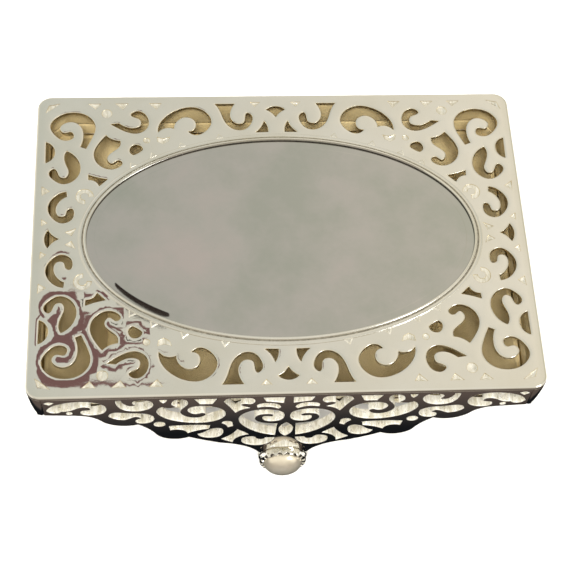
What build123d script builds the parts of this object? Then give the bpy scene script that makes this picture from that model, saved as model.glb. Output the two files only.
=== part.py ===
"""Vanity trinket box: a tapered, velvet-lined casket under a pierced, mirrored lid.

Millimetres. X runs along the box, Y from its front to its back and Z up. The origin is the centre of
the felt that the box rests on. The lid turns about the two hinge pins at the back.
"""

from build123d import *
import os
from math import atan, atan2, cos, degrees, radians, sin, tan

os.makedirs("parts", exist_ok=True)

# Lid
lid_width = 152.4
lid_length = 106.2
lid_top = 60.0  # height of the lid's top face above the table
lid_thickness = 1.2
lid_depth = 12.0  # top face to the bottom edge of the skirt
lid_corner = 4.5
lid_edge_round = 1.0
skirt_thickness = 1.6
lining_thickness = 1.0
lining_corner = 8.0
lining_lift = 0.3  # the linings' edges to the parting of the lid and the casket
pit_depth = 0.5

# Front apron, a plate that hangs in front of the casket, and its knob
apron_thickness = 3.0
apron_gap = 0.5
knob_drop = 48.4  # lid's top face to the knob's centre
knob_radius = 7.4
knob_depth = 2.6
knob_floor = 0.8
knob_notches = 18
notch_length = 0.8
notch_width = 1.0
notch_depth = 0.7
knob_edge_round = 0.7
pearl_radius = 6.1
pearl_seat = 1.2  # height of the pearl's straight edge
pearl_height = 5.2
pearl_fit = 0.1
stud_radius = 1.25
stud_fit = 0.1
stud_head_radius = 2.6
stud_head_height = 0.5
knob_pad_radius = 7.8  # round end of the apron behind the knob
washer_radius = 3.0
washer_thickness = 0.4
nut_width = 5.0  # across flats
nut_thickness = 1.8
stud_end = 0.5  # thread that stands out of the nut

# Mirror
mirror_half_width = 59.6  # opening of the bezel
mirror_half_length = 35.0
glass_thickness = 2.2
glass_bevel_width = 3.0
glass_bevel_drop = 0.45
glass_cover = 0.6  # how far the bezel's lip covers the glass
glass_fit = 0.1
bead_width = 1.1
bead_height = 0.8
bead_round = 0.35
band_width = 2.6  # from the opening to the outside of the flat band
band_height = 0.35
lip_depth = 0.5
lip_fit = 0.02  # the lip's edge to the glass's bevel
sleeve_wall = 0.8
sleeve_fit = 0.1
spur_width = 2.6
spur_length = 1.9
spur_angles = [43, 51, 61, 73]  # round the oval, in each quarter
backing_thickness = 0.8
clip_width = 5.0
clip_reach = 4.0
clip_thickness = 0.6
clip_angles = [20, 90, 160, 200, 270, 340]

# Casket
rim_height = 5.0
rim_width = 1.8
wall_thickness = 1.8
wall_top_inset = 1.0  # from the rim's outside
wall_bottom_inset = 19.4
wall_corner = 5.0
wall_scroll_scale = 1.4
wall_scroll_gap = 2.2  # between the two scrolls of a pair
wall_bead_radius = 1.2
wall_bead_height = 14.5  # above and below the middle of a wall, along its slope
felt_thickness = 0.8
base_thickness = 2.0
base_edge = 1.0  # how far the base stands out under the walls
lug_size = 9.0
lug_height = 4.0
screw_radius = 1.0
screw_fit = 0.05
screw_length = 5.0
screw_head_radius = 1.9
countersink_angle = 82
screw_slot_width = 0.5
screw_slot_depth = 0.4
liner_thickness = 1.5
liner_fit = 0.15
liner_corner = 8.0
board_thickness = 1.5
pad_thickness = 3.0
pad_fit = 0.2
felt_inset = 0.5
base_round = 0.6

# Hinges
hinge_spacing = 88.0
hinge_width = 24.0
hinge_leaf = 0.8
knuckle_radius = 2.0
knuckle_gap = 0.15
hinge_clearance = 0.4  # knuckles to the metal of the other half
pin_radius = 0.9
pin_fit = 0.05
pin_head_radius = 1.4
pin_head_height = 0.6
lid_leaf_height = 6.0
rivet_radius = 0.8
rivet_fit = 0.05
rivet_head_radius = 1.4
rivet_head_height = 0.5
rivet_inset = 5.0
leaf_edge = 0.2  # a box leaf's lower edge above the rim's

# Ways out through the four walls, and the pairs of scrolls along each
side_ways = {"front": (0, -1), "back": (0, 1), "left": (-1, 0), "right": (1, 0)}
wall_pairs = {"front": 3, "back": 3, "left": 2, "right": 2}

# The scroll patterns were drawn on a lid of this size, and stretch with the real one.
design_width = 152.4
design_length = 106.2
stretch_x = lid_width / design_width
stretch_y = lid_length / design_length

# Places that follow from the sizes
rim_half_x = lid_width / 2
rim_half_y = (lid_length - apron_thickness - apron_gap) / 2
lid_back = rim_half_y
lid_front = lid_back - lid_length
lid_centre = (lid_back + lid_front) / 2
lid_under = lid_top - lid_thickness
parting = lid_top - lid_depth
wall_top = parting - rim_height
base_top = felt_thickness + base_thickness
board_bottom = base_top + lug_height
board_top = board_bottom + board_thickness
wall_slope = (wall_bottom_inset - wall_top_inset) / (wall_top - base_top)
knob_height = lid_top - knob_drop
hinge_axis_y = rim_half_y + knuckle_radius + hinge_clearance
lid_leaf_bottom = parting + knuckle_radius + hinge_clearance
lid_leaf_middle = lid_leaf_bottom + lid_leaf_height / 2
box_leaf_bottom = wall_top + leaf_edge
box_leaf_top = parting - knuckle_radius - hinge_clearance
box_rivet_height = box_leaf_bottom + rivet_head_radius
sleeve_inside = glass_cover + glass_fit
sleeve_outside = sleeve_inside + sleeve_wall
glass_top = lid_top - lip_depth + glass_bevel_drop * (1 - glass_cover / glass_bevel_width) - lip_fit
glass_under = glass_top - glass_thickness
backing_under = glass_under - backing_thickness
lid_plane = Plane(origin=(0, lid_centre, lid_top))
apron_plane = Plane(origin=(0, lid_front, lid_top), x_dir=(1, 0, 0), z_dir=(0, -1, 0))
knob_plane = Plane(origin=(0, lid_front, knob_height), x_dir=(1, 0, 0), z_dir=(0, -1, 0))

# Openings of the lid in its left back quarter, as runs from corner to corner, from the lid's centre.
# Two points are a line, three an arc and more a smooth curve.
lid_openings = {
    "corner_comma": [
        [(-62.1, 33.6), (-60.4, 32.9)],
        [(-60.4, 32.9), (-58.4, 37.4), (-57.7, 41.8), (-60.2, 45.4), (-64.4, 46.7), (-69.2, 45.4),
         (-71.7, 41.6), (-70.0, 37.9), (-66.7, 36.1), (-64.4, 37.4), (-65.2, 39.2), (-67.3, 38.9),
         (-68.8, 40.5), (-67.4, 42.6), (-64.6, 43.1), (-62.2, 41.4), (-61.2, 37.8), (-62.1, 33.6)],
    ],
    "hook": [
        [(-54.2, 37.8), (-52.2, 36.3), (-49.7, 35.6)],
        [(-49.7, 35.6), (-50.2, 33.2), (-52.6, 31.1), (-53.7, 28.8), (-52.2, 27.1), (-50.2, 28.3),
         (-49.0, 27.5), (-50.2, 25.7), (-53.2, 25.1), (-56.6, 27.2), (-57.8, 30.6), (-56.6, 34.4),
         (-54.2, 37.8)],
    ],
    "side_scroll": [
        [(-66.3, 31.9), (-63.2, 29.2), (-62.0, 25.4), (-63.6, 21.4), (-67.0, 19.8), (-70.2, 21.4),
         (-71.5, 24.2), (-70.2, 25.3), (-69.1, 24.1), (-68.3, 22.4), (-66.6, 22.0), (-65.5, 23.8),
         (-66.2, 26.4), (-66.9, 28.6), (-66.3, 31.9)],
    ],
    "half_moon": [
        [(-72.9, 35.4), (-70.1, 31.5), (-72.8, 27.7)],
        [(-72.8, 27.7), (-72.9, 35.4)],
    ],
    "bone": [
        [(-59.4, 23.0), (-59.3, 21.2)],
        [(-59.3, 21.2), (-57.0, 20.4), (-56.0, 18.9)],
        [(-56.0, 18.9), (-53.5, 21.3)],
        [(-53.5, 21.3), (-56.2, 21.9), (-59.4, 23.0)],
    ],
    "end_scroll": [
        [(-66.1, 16.8), (-65.9, 15.1)],
        [(-65.9, 15.1), (-68.4, 13.0), (-69.2, 10.2), (-68.1, 8.0), (-66.1, 8.3), (-65.4, 10.3),
         (-64.3, 10.7), (-63.6, 9.2), (-64.4, 6.7), (-66.9, 5.6), (-70.0, 7.4), (-71.5, 11.1),
         (-69.9, 14.8), (-66.1, 16.8)],
    ],
    "small_comma": [
        [(-52.7, 42.1), (-50.2, 42.4)],
        [(-50.2, 42.4), (-48.0, 41.0), (-45.3, 40.5), (-43.2, 41.6), (-43.5, 43.8), (-45.2, 44.7),
         (-46.3, 45.6), (-45.3, 46.8), (-42.8, 46.6), (-41.0, 44.2), (-41.2, 40.7), (-43.9, 38.6),
         (-47.6, 39.1), (-50.4, 40.6), (-52.7, 42.1)],
    ],
    "large_comma": [
        [(-37.7, 38.9), (-35.6, 40.4), (-32.7, 40.2)],
        [(-32.7, 40.2), (-31.8, 43.0), (-28.9, 44.6), (-26.0, 43.1), (-25.8, 40.4), (-28.1, 39.0)],
        [(-28.1, 39.0), (-25.3, 37.7), (-22.3, 39.5), (-20.8, 42.8), (-22.5, 46.4), (-26.0, 48.3),
         (-30.2, 47.9), (-34.6, 45.4), (-37.2, 41.9), (-37.7, 38.9)],
    ],
    "trumpet": [
        [(-19.4, 49.6), (-13.2, 49.6)],
        [(-13.2, 49.6), (-14.6, 46.7), (-14.5, 43.8), (-12.4, 41.8), (-10.2, 42.5), (-9.8, 44.4),
         (-9.1, 46.0), (-7.9, 45.2), (-7.9, 42.4), (-10.0, 39.8), (-13.0, 39.6), (-16.0, 42.1),
         (-17.6, 46.2), (-19.4, 49.6)],
    ],
    "thorn": [
        [(-3.8, 42.7), (-2.9, 40.7), (-2.7, 38.6)],
        [(-2.7, 38.6), (-6.6, 38.5)],
        [(-6.6, 38.5), (-4.9, 40.3), (-3.8, 42.7)],
    ],
    "petal": [
        [(-45.4, 30.3), (-46.6, 32.2), (-45.4, 34.0), (-43.4, 33.7), (-42.6, 32.2)],
        [(-42.6, 32.2), (-43.9, 31.1), (-45.4, 30.3)],
    ],
}
# Openings that lie across a centre line, mirrored once.
arrow_opening = [
    [(-71.2, 3.1), (-70.0, 1.4), (-67.9, 0.0)],
    [(-67.9, 0.0), (-70.0, -1.4), (-71.2, -3.1)],
    [(-71.2, -3.1), (-72.2, 0.0), (-71.2, 3.1)],
]
fan_opening = [
    [(-3.0, 47.2), (0.0, 48.5), (3.0, 47.2)],
    [(3.0, 47.2), (1.2, 46.0), (0.0, 44.4)],
    [(0.0, 44.4), (-1.2, 46.0), (-3.0, 47.2)],
]
# Blind marks in the same quarter: corners of flat-bottomed pits, and round ones by centre and radius.
lid_pits = [
    [(-73.3, 46.7), (-72.3, 49.3), (-69.0, 50.1), (-71.2, 48.3)],
    [(-59.8, 49.9), (-56.1, 49.9), (-57.6, 48.0)],
    [(-51.2, 49.9), (-47.4, 49.9), (-48.8, 47.9)],
    [(-40.4, 49.9), (-36.8, 49.9), (-38.2, 47.8)],
    [(-8.0, 50.0), (-5.1, 50.0), (-6.6, 48.5)],
    [(-73.6, 18.7), (-71.4, 17.0), (-73.4, 15.7)],
    [(-73.3, 6.8), (-71.7, 5.6), (-73.2, 4.7)],
    [(-65.8, 2.2), (-62.9, 3.5), (-64.1, 1.1)],
    [(-38.0, 36.8), (-36.1, 36.2), (-34.1, 36.8), (-34.7, 35.3), (-36.2, 34.4), (-37.7, 35.2)],
]
round_pits = [((-54.0, 46.1), 1.5), ((-41.3, 35.6), 0.9)]
curl_pit = ((-60.4, 15.0), 2.6, 1.4)  # centre, outer and inner radius

# Openings of the apron's left half: across from its middle, and down from the lid's top face.
apron_openings = {
    "corner_chip": [
        [(-70.8, -3.4), (-69.5, -2.6)],
        [(-69.5, -2.6), (-68.2, -3.2)],
        [(-68.2, -3.2), (-69.5, -4.5)],
        [(-69.5, -4.5), (-70.8, -3.4)],
    ],
    "corner_scroll": [
        [(-70.5, -8.4), (-68.6, -5.6), (-65.0, -3.6), (-60.4, -2.8), (-56.0, -4.0), (-53.5, -7.2),
         (-54.3, -10.7), (-57.6, -12.2), (-60.5, -11.3), (-60.6, -9.6), (-57.9, -8.5), (-58.2, -6.9),
         (-60.8, -6.6), (-63.4, -8.4), (-66.4, -9.0)],
        [(-66.4, -9.0), (-68.3, -10.2), (-70.5, -8.4)],
    ],
    "upper_scroll": [
        [(-50.3, -2.7), (-48.8, -2.7)],
        [(-48.8, -2.7), (-48.0, -5.3), (-46.2, -6.6), (-44.8, -6.1), (-45.5, -4.3), (-43.6, -2.8),
         (-40.9, -3.3), (-39.7, -5.5), (-41.0, -8.5), (-44.6, -10.1), (-48.2, -9.0), (-49.9, -6.0),
         (-50.3, -2.7)],
    ],
    "upper_drop": [
        [(-37.6, -2.7), (-35.6, -2.7)],
        [(-35.6, -2.7), (-36.0, -3.9), (-36.6, -4.7)],
        [(-36.6, -4.7), (-37.3, -3.8), (-37.6, -2.7)],
    ],
    "great_scroll": [
        [(-37.1, -7.9), (-34.6, -8.7), (-32.6, -7.6)],
        [(-32.6, -7.6), (-34.1, -4.9), (-32.3, -2.8), (-30.2, -3.3), (-29.7, -5.9), (-31.3, -9.0),
         (-31.9, -12.3), (-30.2, -15.1), (-27.2, -16.1), (-24.7, -14.8), (-24.3, -13.2), (-25.3, -12.4),
         (-27.0, -13.1), (-28.9, -12.1), (-29.5, -10.0), (-27.9, -8.2), (-24.6, -7.8), (-20.9, -9.2),
         (-18.6, -12.9), (-20.0, -17.1), (-24.6, -19.5), (-30.4, -19.1), (-35.3, -16.6), (-38.3, -12.6)],
        [(-38.3, -12.6), (-38.5, -9.9), (-37.1, -7.9)],
    ],
    "upper_block": [
        [(-27.4, -2.7), (-21.2, -2.7)],
        [(-21.2, -2.7), (-22.4, -6.0)],
        [(-22.4, -6.0), (-25.9, -6.0)],
        [(-25.9, -6.0), (-27.4, -2.7)],
    ],
    "fork": [
        [(-18.9, -4.8), (-17.5, -2.9), (-14.6, -2.7), (-11.2, -2.9), (-10.0, -4.8), (-11.4, -6.8),
         (-12.9, -6.4), (-14.1, -7.4), (-13.2, -8.6), (-11.5, -9.6)],
        [(-11.5, -9.6), (-13.9, -10.8), (-15.5, -12.8)],
        [(-15.5, -12.8), (-17.1, -8.7), (-18.9, -4.8)],
    ],
    "middle_block": [
        [(-7.4, -2.7), (-1.4, -2.7)],
        [(-1.4, -2.7), (-1.6, -6.4)],
        [(-1.6, -6.4), (-4.0, -5.7), (-6.5, -5.1)],
        [(-6.5, -5.1), (-7.4, -2.7)],
    ],
    "brow": [
        [(-2.3, -9.6), (-3.7, -7.4), (-6.7, -6.7), (-9.0, -7.8), (-8.9, -9.4)],
        [(-8.9, -9.4), (-5.6, -9.0), (-2.9, -10.5)],
        [(-2.9, -10.5), (-2.3, -9.6)],
    ],
    "heart_scroll": [
        [(-3.3, -30.6), (-3.1, -26.8), (-3.0, -22.1)],
        [(-3.0, -22.1), (-5.7, -21.7), (-8.4, -20.6), (-9.8, -17.8), (-8.9, -15.2), (-6.4, -14.3),
         (-4.3, -15.0), (-4.1, -16.1), (-5.3, -16.5), (-6.9, -16.4), (-7.2, -17.9), (-6.0, -19.5),
         (-3.6, -19.8), (-1.7, -18.6), (-1.0, -16.2), (-1.8, -13.4), (-4.4, -11.7), (-8.2, -11.4),
         (-12.0, -13.0), (-14.2, -16.6), (-13.8, -20.8), (-11.4, -25.0), (-7.6, -28.7), (-3.3, -30.6)],
    ],
    "wide_scroll": [
        [(-52.9, -13.4), (-51.2, -11.3), (-47.4, -11.7), (-43.0, -12.3), (-40.3, -14.0), (-40.0, -17.2),
         (-42.4, -19.2), (-44.9, -18.4), (-44.8, -16.8), (-43.4, -15.6), (-44.6, -14.3), (-46.6, -15.1),
         (-48.4, -16.3)],
        [(-48.4, -16.3), (-51.0, -15.6), (-52.9, -13.4)],
    ],
    "crown": [
        [(-35.3, -22.2), (-29.2, -21.7), (-23.2, -22.2)],
        [(-23.2, -22.2), (-23.6, -24.6)],
        [(-23.6, -24.6), (-26.8, -25.6), (-29.8, -27.5)],
        [(-29.8, -27.5), (-31.2, -25.2), (-34.9, -25.0)],
        [(-34.9, -25.0), (-35.3, -22.2)],
    ],
    "bean": [
        [(-26.7, -28.6), (-24.2, -26.8), (-22.3, -24.9), (-20.1, -24.7), (-19.2, -27.4), (-20.4, -30.6),
         (-23.4, -31.6), (-25.9, -30.4), (-26.7, -28.6)],
    ],
    "leaf": [
        [(-19.4, -20.6), (-17.8, -19.3), (-16.5, -21.0)],
        [(-16.5, -21.0), (-16.3, -22.8)],
        [(-16.3, -22.8), (-17.6, -23.7)],
        [(-17.6, -23.7), (-18.2, -22.0), (-19.4, -20.6)],
    ],
    "lower_bone": [
        [(-19.5, -33.0), (-16.7, -30.0), (-14.7, -25.9)],
        [(-14.7, -25.9), (-11.4, -29.7)],
        [(-11.4, -29.7), (-14.9, -32.0), (-16.2, -35.7)],
        [(-16.2, -35.7), (-19.5, -33.0)],
    ],
    "crescent": [
        [(-13.2, -34.4), (-11.9, -32.1), (-9.8, -31.9), (-8.6, -33.7), (-7.1, -34.2), (-5.9, -32.9)],
        [(-5.9, -32.9), (-3.4, -32.9)],
        [(-3.4, -32.9), (-4.6, -36.4), (-7.4, -38.5), (-10.7, -38.1), (-12.8, -36.4), (-13.2, -34.4)],
    ],
    "almond": [
        [(0.0, -21.4), (-2.0, -26.4), (0.0, -31.4)],
        [(0.0, -31.4), (0.0, -21.4)],
    ],
    "tent": [
        [(0.0, -34.6), (-4.4, -40.4)],
        [(-4.4, -40.4), (0.0, -40.4)],
        [(0.0, -40.4), (0.0, -34.6)],
    ],
}
round_apron_holes = [((-64.2, -10.7), 0.8), ((-38.2, -20.4), 1.6)]
# Lower edge of the apron's left half, from its end at the lid's corner to the knob.
apron_edge = [
    [(-62.5, -12.8), (-58.4, -14.1), (-55.8, -16.6)],
    [(-55.8, -16.6), (-50.8, -20.9), (-44.6, -20.4)],
    [(-44.6, -20.4), (-41.8, -23.8), (-39.6, -28.0)],
    [(-39.6, -28.0), (-35.0, -32.2), (-29.6, -31.0)],
    [(-29.6, -31.0), (-24.8, -33.9), (-19.6, -36.4)],
    [(-19.6, -36.4), (-15.2, -37.8), (-11.6, -40.0)],
    [(-11.6, -40.0), (-9.4, -42.2), (-7.6, -45.4)],
]


def stretched(run, across, along):
    """The points of a run, moved out with the plate that they are drawn on."""
    return [(x * across, y * along) for x, y in run]


def outline_face(runs, across=1.0, along=1.0):
    """The face inside a closed outline of lines, arcs and smooth curves."""
    with BuildSketch() as sketch:
        with BuildLine():
            for run in runs:
                points = stretched(run, across, along)
                if len(points) == 2:
                    Line(*points)
                elif len(points) == 3:
                    ThreePointArc(*points)
                else:
                    Spline(*points)
        make_face()
    return sketch.sketch


def lid_cutouts():
    """Every opening of the lid, drawn in one quarter and mirrored to the others."""
    with BuildSketch(lid_plane) as sketch:
        for runs in lid_openings.values():
            add(outline_face(runs, stretch_x, stretch_y))
        mirror(about=Plane.YZ)
        mirror(about=Plane.XZ)
        arrow = outline_face(arrow_opening, stretch_x, stretch_y)
        fan = outline_face(fan_opening, stretch_x, stretch_y)
        add([arrow, arrow.mirror(Plane.YZ), fan, fan.mirror(Plane.XZ)])
    return sketch.sketch


def lid_marks():
    """The blind pits of the lid's top face."""
    with BuildSketch(lid_plane) as sketch:
        for corners in lid_pits:
            Polygon(*stretched(corners, stretch_x, stretch_y), align=None)
        for centre, radius in round_pits:
            with Locations(stretched([centre], stretch_x, stretch_y)):
                Circle(radius)
        centre, outer, inner = curl_pit
        with Locations(stretched([centre], stretch_x, stretch_y)):
            Circle(outer)
            Circle(inner, mode=Mode.SUBTRACT)
            with Locations((inner, -inner)):
                Rectangle(2 * inner, 2 * inner, mode=Mode.SUBTRACT)
        mirror(about=Plane.YZ)
        mirror(about=Plane.XZ)
    return sketch.sketch


def apron_cutouts():
    """Every opening of the apron, drawn in its left half and mirrored."""
    with BuildSketch(apron_plane) as sketch:
        for runs in apron_openings.values():
            add(outline_face(runs, stretch_x))
        for centre, radius in round_apron_holes:
            with Locations(stretched([centre], stretch_x, 1.0)):
                Circle(radius)
        mirror(about=Plane.YZ)
    return sketch.sketch


def oval(grow, height):
    """Ellipse on a level plane that stands outside the mirror opening by grow."""
    with BuildSketch(Plane((0, lid_centre, height))) as sketch:
        Ellipse(mirror_half_width + grow, mirror_half_length + grow)
    return sketch.sketch


def oval_ring(inside, outside, bottom, top):
    """Upright ring between two ovals round the mirror opening."""
    with BuildPart() as ring:
        extrude(oval(outside, bottom), amount=top - bottom)
        extrude(oval(inside, bottom), amount=top - bottom, mode=Mode.SUBTRACT)
    return ring.part


def oval_places(angles, grow):
    """Places on the oval that stands outside the opening by grow, with X pointing away from it."""
    half_x = mirror_half_width + grow
    half_y = mirror_half_length + grow
    places = []
    for angle in angles:
        across, along = cos(radians(angle)), sin(radians(angle))
        turn = degrees(atan2(half_x * along, half_y * across))
        places.append(Location((half_x * across, half_y * along), turn))
    return places


def wall_half_sizes(height):
    """Half width and half depth of the casket's outside at a height."""
    inset = wall_top_inset + (wall_top - height) * wall_slope
    return rim_half_x - inset, rim_half_y - inset


def sloped_block(bottom, top, inset, corner=wall_corner):
    """Solid that fills the casket between two heights, moved in from its outside by inset."""
    with BuildPart() as block:
        for height in (bottom, top):
            half_x, half_y = wall_half_sizes(height)
            with BuildSketch(Plane.XY.offset(height)):
                RectangleRounded(2 * (half_x - inset), 2 * (half_y - inset), corner)
        loft(ruled=True)
    return block.part


def side_wedge(side):
    """Prism that holds one side of the casket, up to the mitres at its corners."""
    reach = lid_width
    ridge = rim_half_x - rim_half_y
    far_x, far_y = ridge + reach, reach
    corners = {
        "front": [(-far_x, -far_y), (far_x, -far_y), (ridge, 0), (-ridge, 0)],
        "back": [(far_x, far_y), (-far_x, far_y), (-ridge, 0), (ridge, 0)],
        "left": [(-far_x, far_y), (-far_x, -far_y), (-ridge, 0)],
        "right": [(far_x, -far_y), (far_x, far_y), (ridge, 0)],
    }
    with BuildPart() as wedge:
        with BuildSketch():
            Polygon(*corners[side], align=None)
        extrude(amount=lid_top)
    return wedge.part


def wall_cutouts(side):
    """Pairs of scrolls between two rows of round holes, on the sloping outside of one wall."""
    way_x, way_y = side_ways[side]
    tilt = atan(wall_slope)
    middle = (base_top + wall_top) / 2
    half_x, half_y = wall_half_sizes(middle)
    plane = Plane(
        origin=(way_x * half_x, way_y * half_y, middle),
        x_dir=(-way_y, way_x, 0),
        z_dir=(way_x * cos(tilt), way_y * cos(tilt), -sin(tilt)),
    )
    low_x, low_y = wall_half_sizes(base_top)
    length = 2 * ((low_x if way_x == 0 else low_y) - wall_corner)
    pairs = wall_pairs[side]
    pitch = length / pairs
    points = lid_openings["side_scroll"][0]
    reach = max(x for x, y in points)
    level = (max(y for x, y in points) + min(y for x, y in points)) / 2
    shape = [[(x - reach, y - level) for x, y in points]]
    scroll = outline_face(shape, wall_scroll_scale, wall_scroll_scale)
    left = scroll.moved(Location((-wall_scroll_gap / 2, 0)))
    with BuildSketch(plane) as sketch:
        with GridLocations(pitch, 0, pairs, 1):
            add([left, left.mirror(Plane.YZ)])
        with GridLocations(pitch / 2, 2 * wall_bead_height, 2 * pairs, 2):
            Circle(wall_bead_radius)
    return sketch.sketch


def finish(part, name):
    """Label a piece and write it out."""
    part.label = name
    export_step(part, f"parts/{name}.step")


# ---------------------------------------------------------------- lid
with BuildPart() as lid_plate:
    with BuildSketch(lid_plane):
        RectangleRounded(lid_width, lid_length, lid_corner)
    extrude(amount=-lid_thickness)
    fillet(lid_plate.faces().sort_by(Axis.Z)[-1].edges(), lid_edge_round)
    extrude(oval(sleeve_outside + sleeve_fit, lid_top), amount=-lid_thickness, mode=Mode.SUBTRACT)
    extrude(lid_cutouts(), amount=-lid_thickness, mode=Mode.SUBTRACT)
    extrude(lid_marks(), amount=-pit_depth, mode=Mode.SUBTRACT)
finish(lid_plate.part, "lid_plate")

with BuildPart() as lid_skirt:
    with BuildSketch(Plane((0, lid_centre, parting))):
        RectangleRounded(lid_width, lid_length, lid_corner)
        RectangleRounded(
            lid_width - 2 * skirt_thickness,
            lid_length - 2 * skirt_thickness,
            lid_corner - skirt_thickness,
            mode=Mode.SUBTRACT,
        )
        with Locations((0, -lid_length / 2)):
            Rectangle(lid_width - 2 * lid_corner, 3 * skirt_thickness, mode=Mode.SUBTRACT)
    extrude(amount=lid_under - parting)
    # Holes for the hinges' rivets
    with BuildSketch(Plane((0, lid_back, lid_leaf_middle), x_dir=(-1, 0, 0), z_dir=(0, 1, 0))):
        with GridLocations(hinge_spacing, 0, 2, 1):
            with GridLocations(hinge_width - 2 * rivet_inset, 0, 2, 1):
                Circle(rivet_radius + rivet_fit)
    extrude(amount=-skirt_thickness, mode=Mode.SUBTRACT)
finish(lid_skirt.part, "lid_skirt")

with BuildPart() as lid_lining:
    lining_width = lid_width - 2 * skirt_thickness - 2 * liner_fit
    lining_length = lid_length - 2 * skirt_thickness - 2 * liner_fit
    with BuildSketch(Plane((0, lid_centre, parting + lining_lift))):
        RectangleRounded(lining_width, lining_length, lid_corner - skirt_thickness)
        RectangleRounded(
            lining_width - 2 * lining_thickness,
            lining_length - 2 * lining_thickness,
            lining_corner,
            mode=Mode.SUBTRACT,
        )
        with Locations((0, -lid_length / 2)):
            Rectangle(lid_width, 2 * (skirt_thickness + lining_corner), mode=Mode.SUBTRACT)
    extrude(amount=lid_under - parting - lining_lift)
finish(lid_lining.part, "lid_lining")

with BuildPart() as front_apron:
    with BuildSketch(apron_plane):
        with BuildLine():
            end = lid_width / 2 - lid_corner
            edge_start = (apron_edge[0][0][0] * stretch_x, apron_edge[0][0][1])
            edge_end = (apron_edge[-1][-1][0] * stretch_x, apron_edge[-1][-1][1])
            Polyline((0, -lid_thickness), (-end, -lid_thickness), (-end, -lid_depth), edge_start)
            for run in apron_edge:
                ThreePointArc(*stretched(run, stretch_x, 1.0))
            Polyline(edge_end, (0, edge_end[1]), (0, -lid_thickness))
        make_face()
        mirror(about=Plane.YZ)
        with Locations((0, -knob_drop)):
            Circle(knob_pad_radius)
    extrude(amount=-apron_thickness)
    extrude(apron_cutouts(), amount=-apron_thickness, mode=Mode.SUBTRACT)
    with BuildSketch(knob_plane):
        Circle(stud_radius + stud_fit)
    extrude(amount=-apron_thickness, mode=Mode.SUBTRACT)
finish(front_apron.part, "front_apron")

# ---------------------------------------------------------------- mirror
with BuildPart() as mirror_bezel:
    add(oval_ring(0, bead_width, lid_top, lid_top + bead_height))
    fillet(mirror_bezel.faces().sort_by(Axis.Z)[-1].edges(), bead_round)
    add(oval_ring(bead_width, band_width, lid_top, lid_top + band_height))
    add(oval_ring(0, sleeve_outside, lid_top - lip_depth, lid_top))
    add(oval_ring(sleeve_inside, sleeve_outside, backing_under, lid_top - lip_depth))
    with BuildSketch(Plane((0, lid_centre, lid_top))):
        with Locations(*oval_places(spur_angles, band_width)):
            Polygon((-band_height, -spur_width / 2), (-band_height, spur_width / 2), (spur_length, 0),
                    align=None)
        mirror(about=Plane.YZ)
        mirror(about=Plane.XZ)
    extrude(amount=band_height)
finish(mirror_bezel.part, "mirror_bezel")

with BuildPart() as mirror_glass:
    extrude(oval(glass_cover, glass_under), amount=glass_thickness - glass_bevel_drop)
    with BuildSketch(Plane((0, lid_centre, glass_top - glass_bevel_drop))):
        Ellipse(mirror_half_width + glass_cover, mirror_half_length + glass_cover)
    with BuildSketch(Plane((0, lid_centre, glass_top))):
        Ellipse(
            mirror_half_width + glass_cover - glass_bevel_width,
            mirror_half_length + glass_cover - glass_bevel_width,
        )
    loft(ruled=True)
finish(mirror_glass.part, "mirror_glass")

with BuildPart() as mirror_backing:
    extrude(oval(glass_cover, backing_under), amount=backing_thickness)
finish(mirror_backing.part, "mirror_backing")

with BuildPart() as mirror_clips:
    with BuildSketch(Plane((0, lid_centre, backing_under))):
        with Locations(*oval_places(clip_angles, sleeve_outside)):
            Rectangle(clip_reach, clip_width, align=(Align.MAX, Align.CENTER))
    extrude(amount=-clip_thickness)
    extrude(oval(sleeve_outside, backing_under), amount=-clip_thickness, mode=Mode.INTERSECT)
finish(mirror_clips.part, "mirror_clips")

# ---------------------------------------------------------------- knob
with BuildPart() as knob_cup:
    with BuildSketch(knob_plane):
        Circle(knob_radius)
    extrude(amount=knob_depth)
    fillet(knob_cup.faces().sort_by(Axis.Y)[0].edges(), knob_edge_round)
    with BuildSketch(knob_plane.offset(knob_floor)):
        Circle(pearl_radius + pearl_fit)
    extrude(amount=knob_depth, mode=Mode.SUBTRACT)
    with BuildSketch(knob_plane.offset(knob_depth)):
        with PolarLocations(pearl_radius + notch_length / 2, knob_notches):
            Rectangle(notch_length, notch_width)
    extrude(amount=-notch_depth, mode=Mode.SUBTRACT)
    with BuildSketch(knob_plane):
        Circle(stud_radius + stud_fit)
    extrude(amount=knob_depth, mode=Mode.SUBTRACT)
finish(knob_cup.part, "knob_cup")

with BuildPart() as knob_pearl:
    seat = Plane(origin=(0, lid_front - knob_floor, knob_height), x_dir=(1, 0, 0), z_dir=(0, 0, -1))
    hollow_radius = stud_head_radius + pearl_fit
    hollow_depth = stud_head_height + pearl_fit
    with BuildSketch(seat):
        with BuildLine():
            Polyline((0, hollow_depth), (hollow_radius, hollow_depth), (hollow_radius, 0),
                     (pearl_radius, 0), (pearl_radius, pearl_seat))
            Spline((pearl_radius, pearl_seat), (0, pearl_height), tangents=((0, 1), (-1, 0)))
            Line((0, pearl_height), (0, hollow_depth))
        make_face()
    revolve(axis=Axis((0, 0, knob_height), (0, 1, 0)))
finish(knob_pearl.part, "knob_pearl")

stud_length = knob_floor + apron_thickness + washer_thickness + nut_thickness + stud_end
with BuildPart() as knob_stud:
    with BuildSketch(knob_plane.offset(knob_floor)):
        Circle(stud_head_radius)
    extrude(amount=stud_head_height)
    with BuildSketch(knob_plane.offset(knob_floor)):
        Circle(stud_radius)
    extrude(amount=-stud_length)
finish(knob_stud.part, "knob_stud")

with BuildPart() as knob_washer:
    with BuildSketch(knob_plane.offset(-apron_thickness)):
        Circle(washer_radius)
        Circle(stud_radius + stud_fit, mode=Mode.SUBTRACT)
    extrude(amount=-washer_thickness)
finish(knob_washer.part, "knob_washer")

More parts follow.
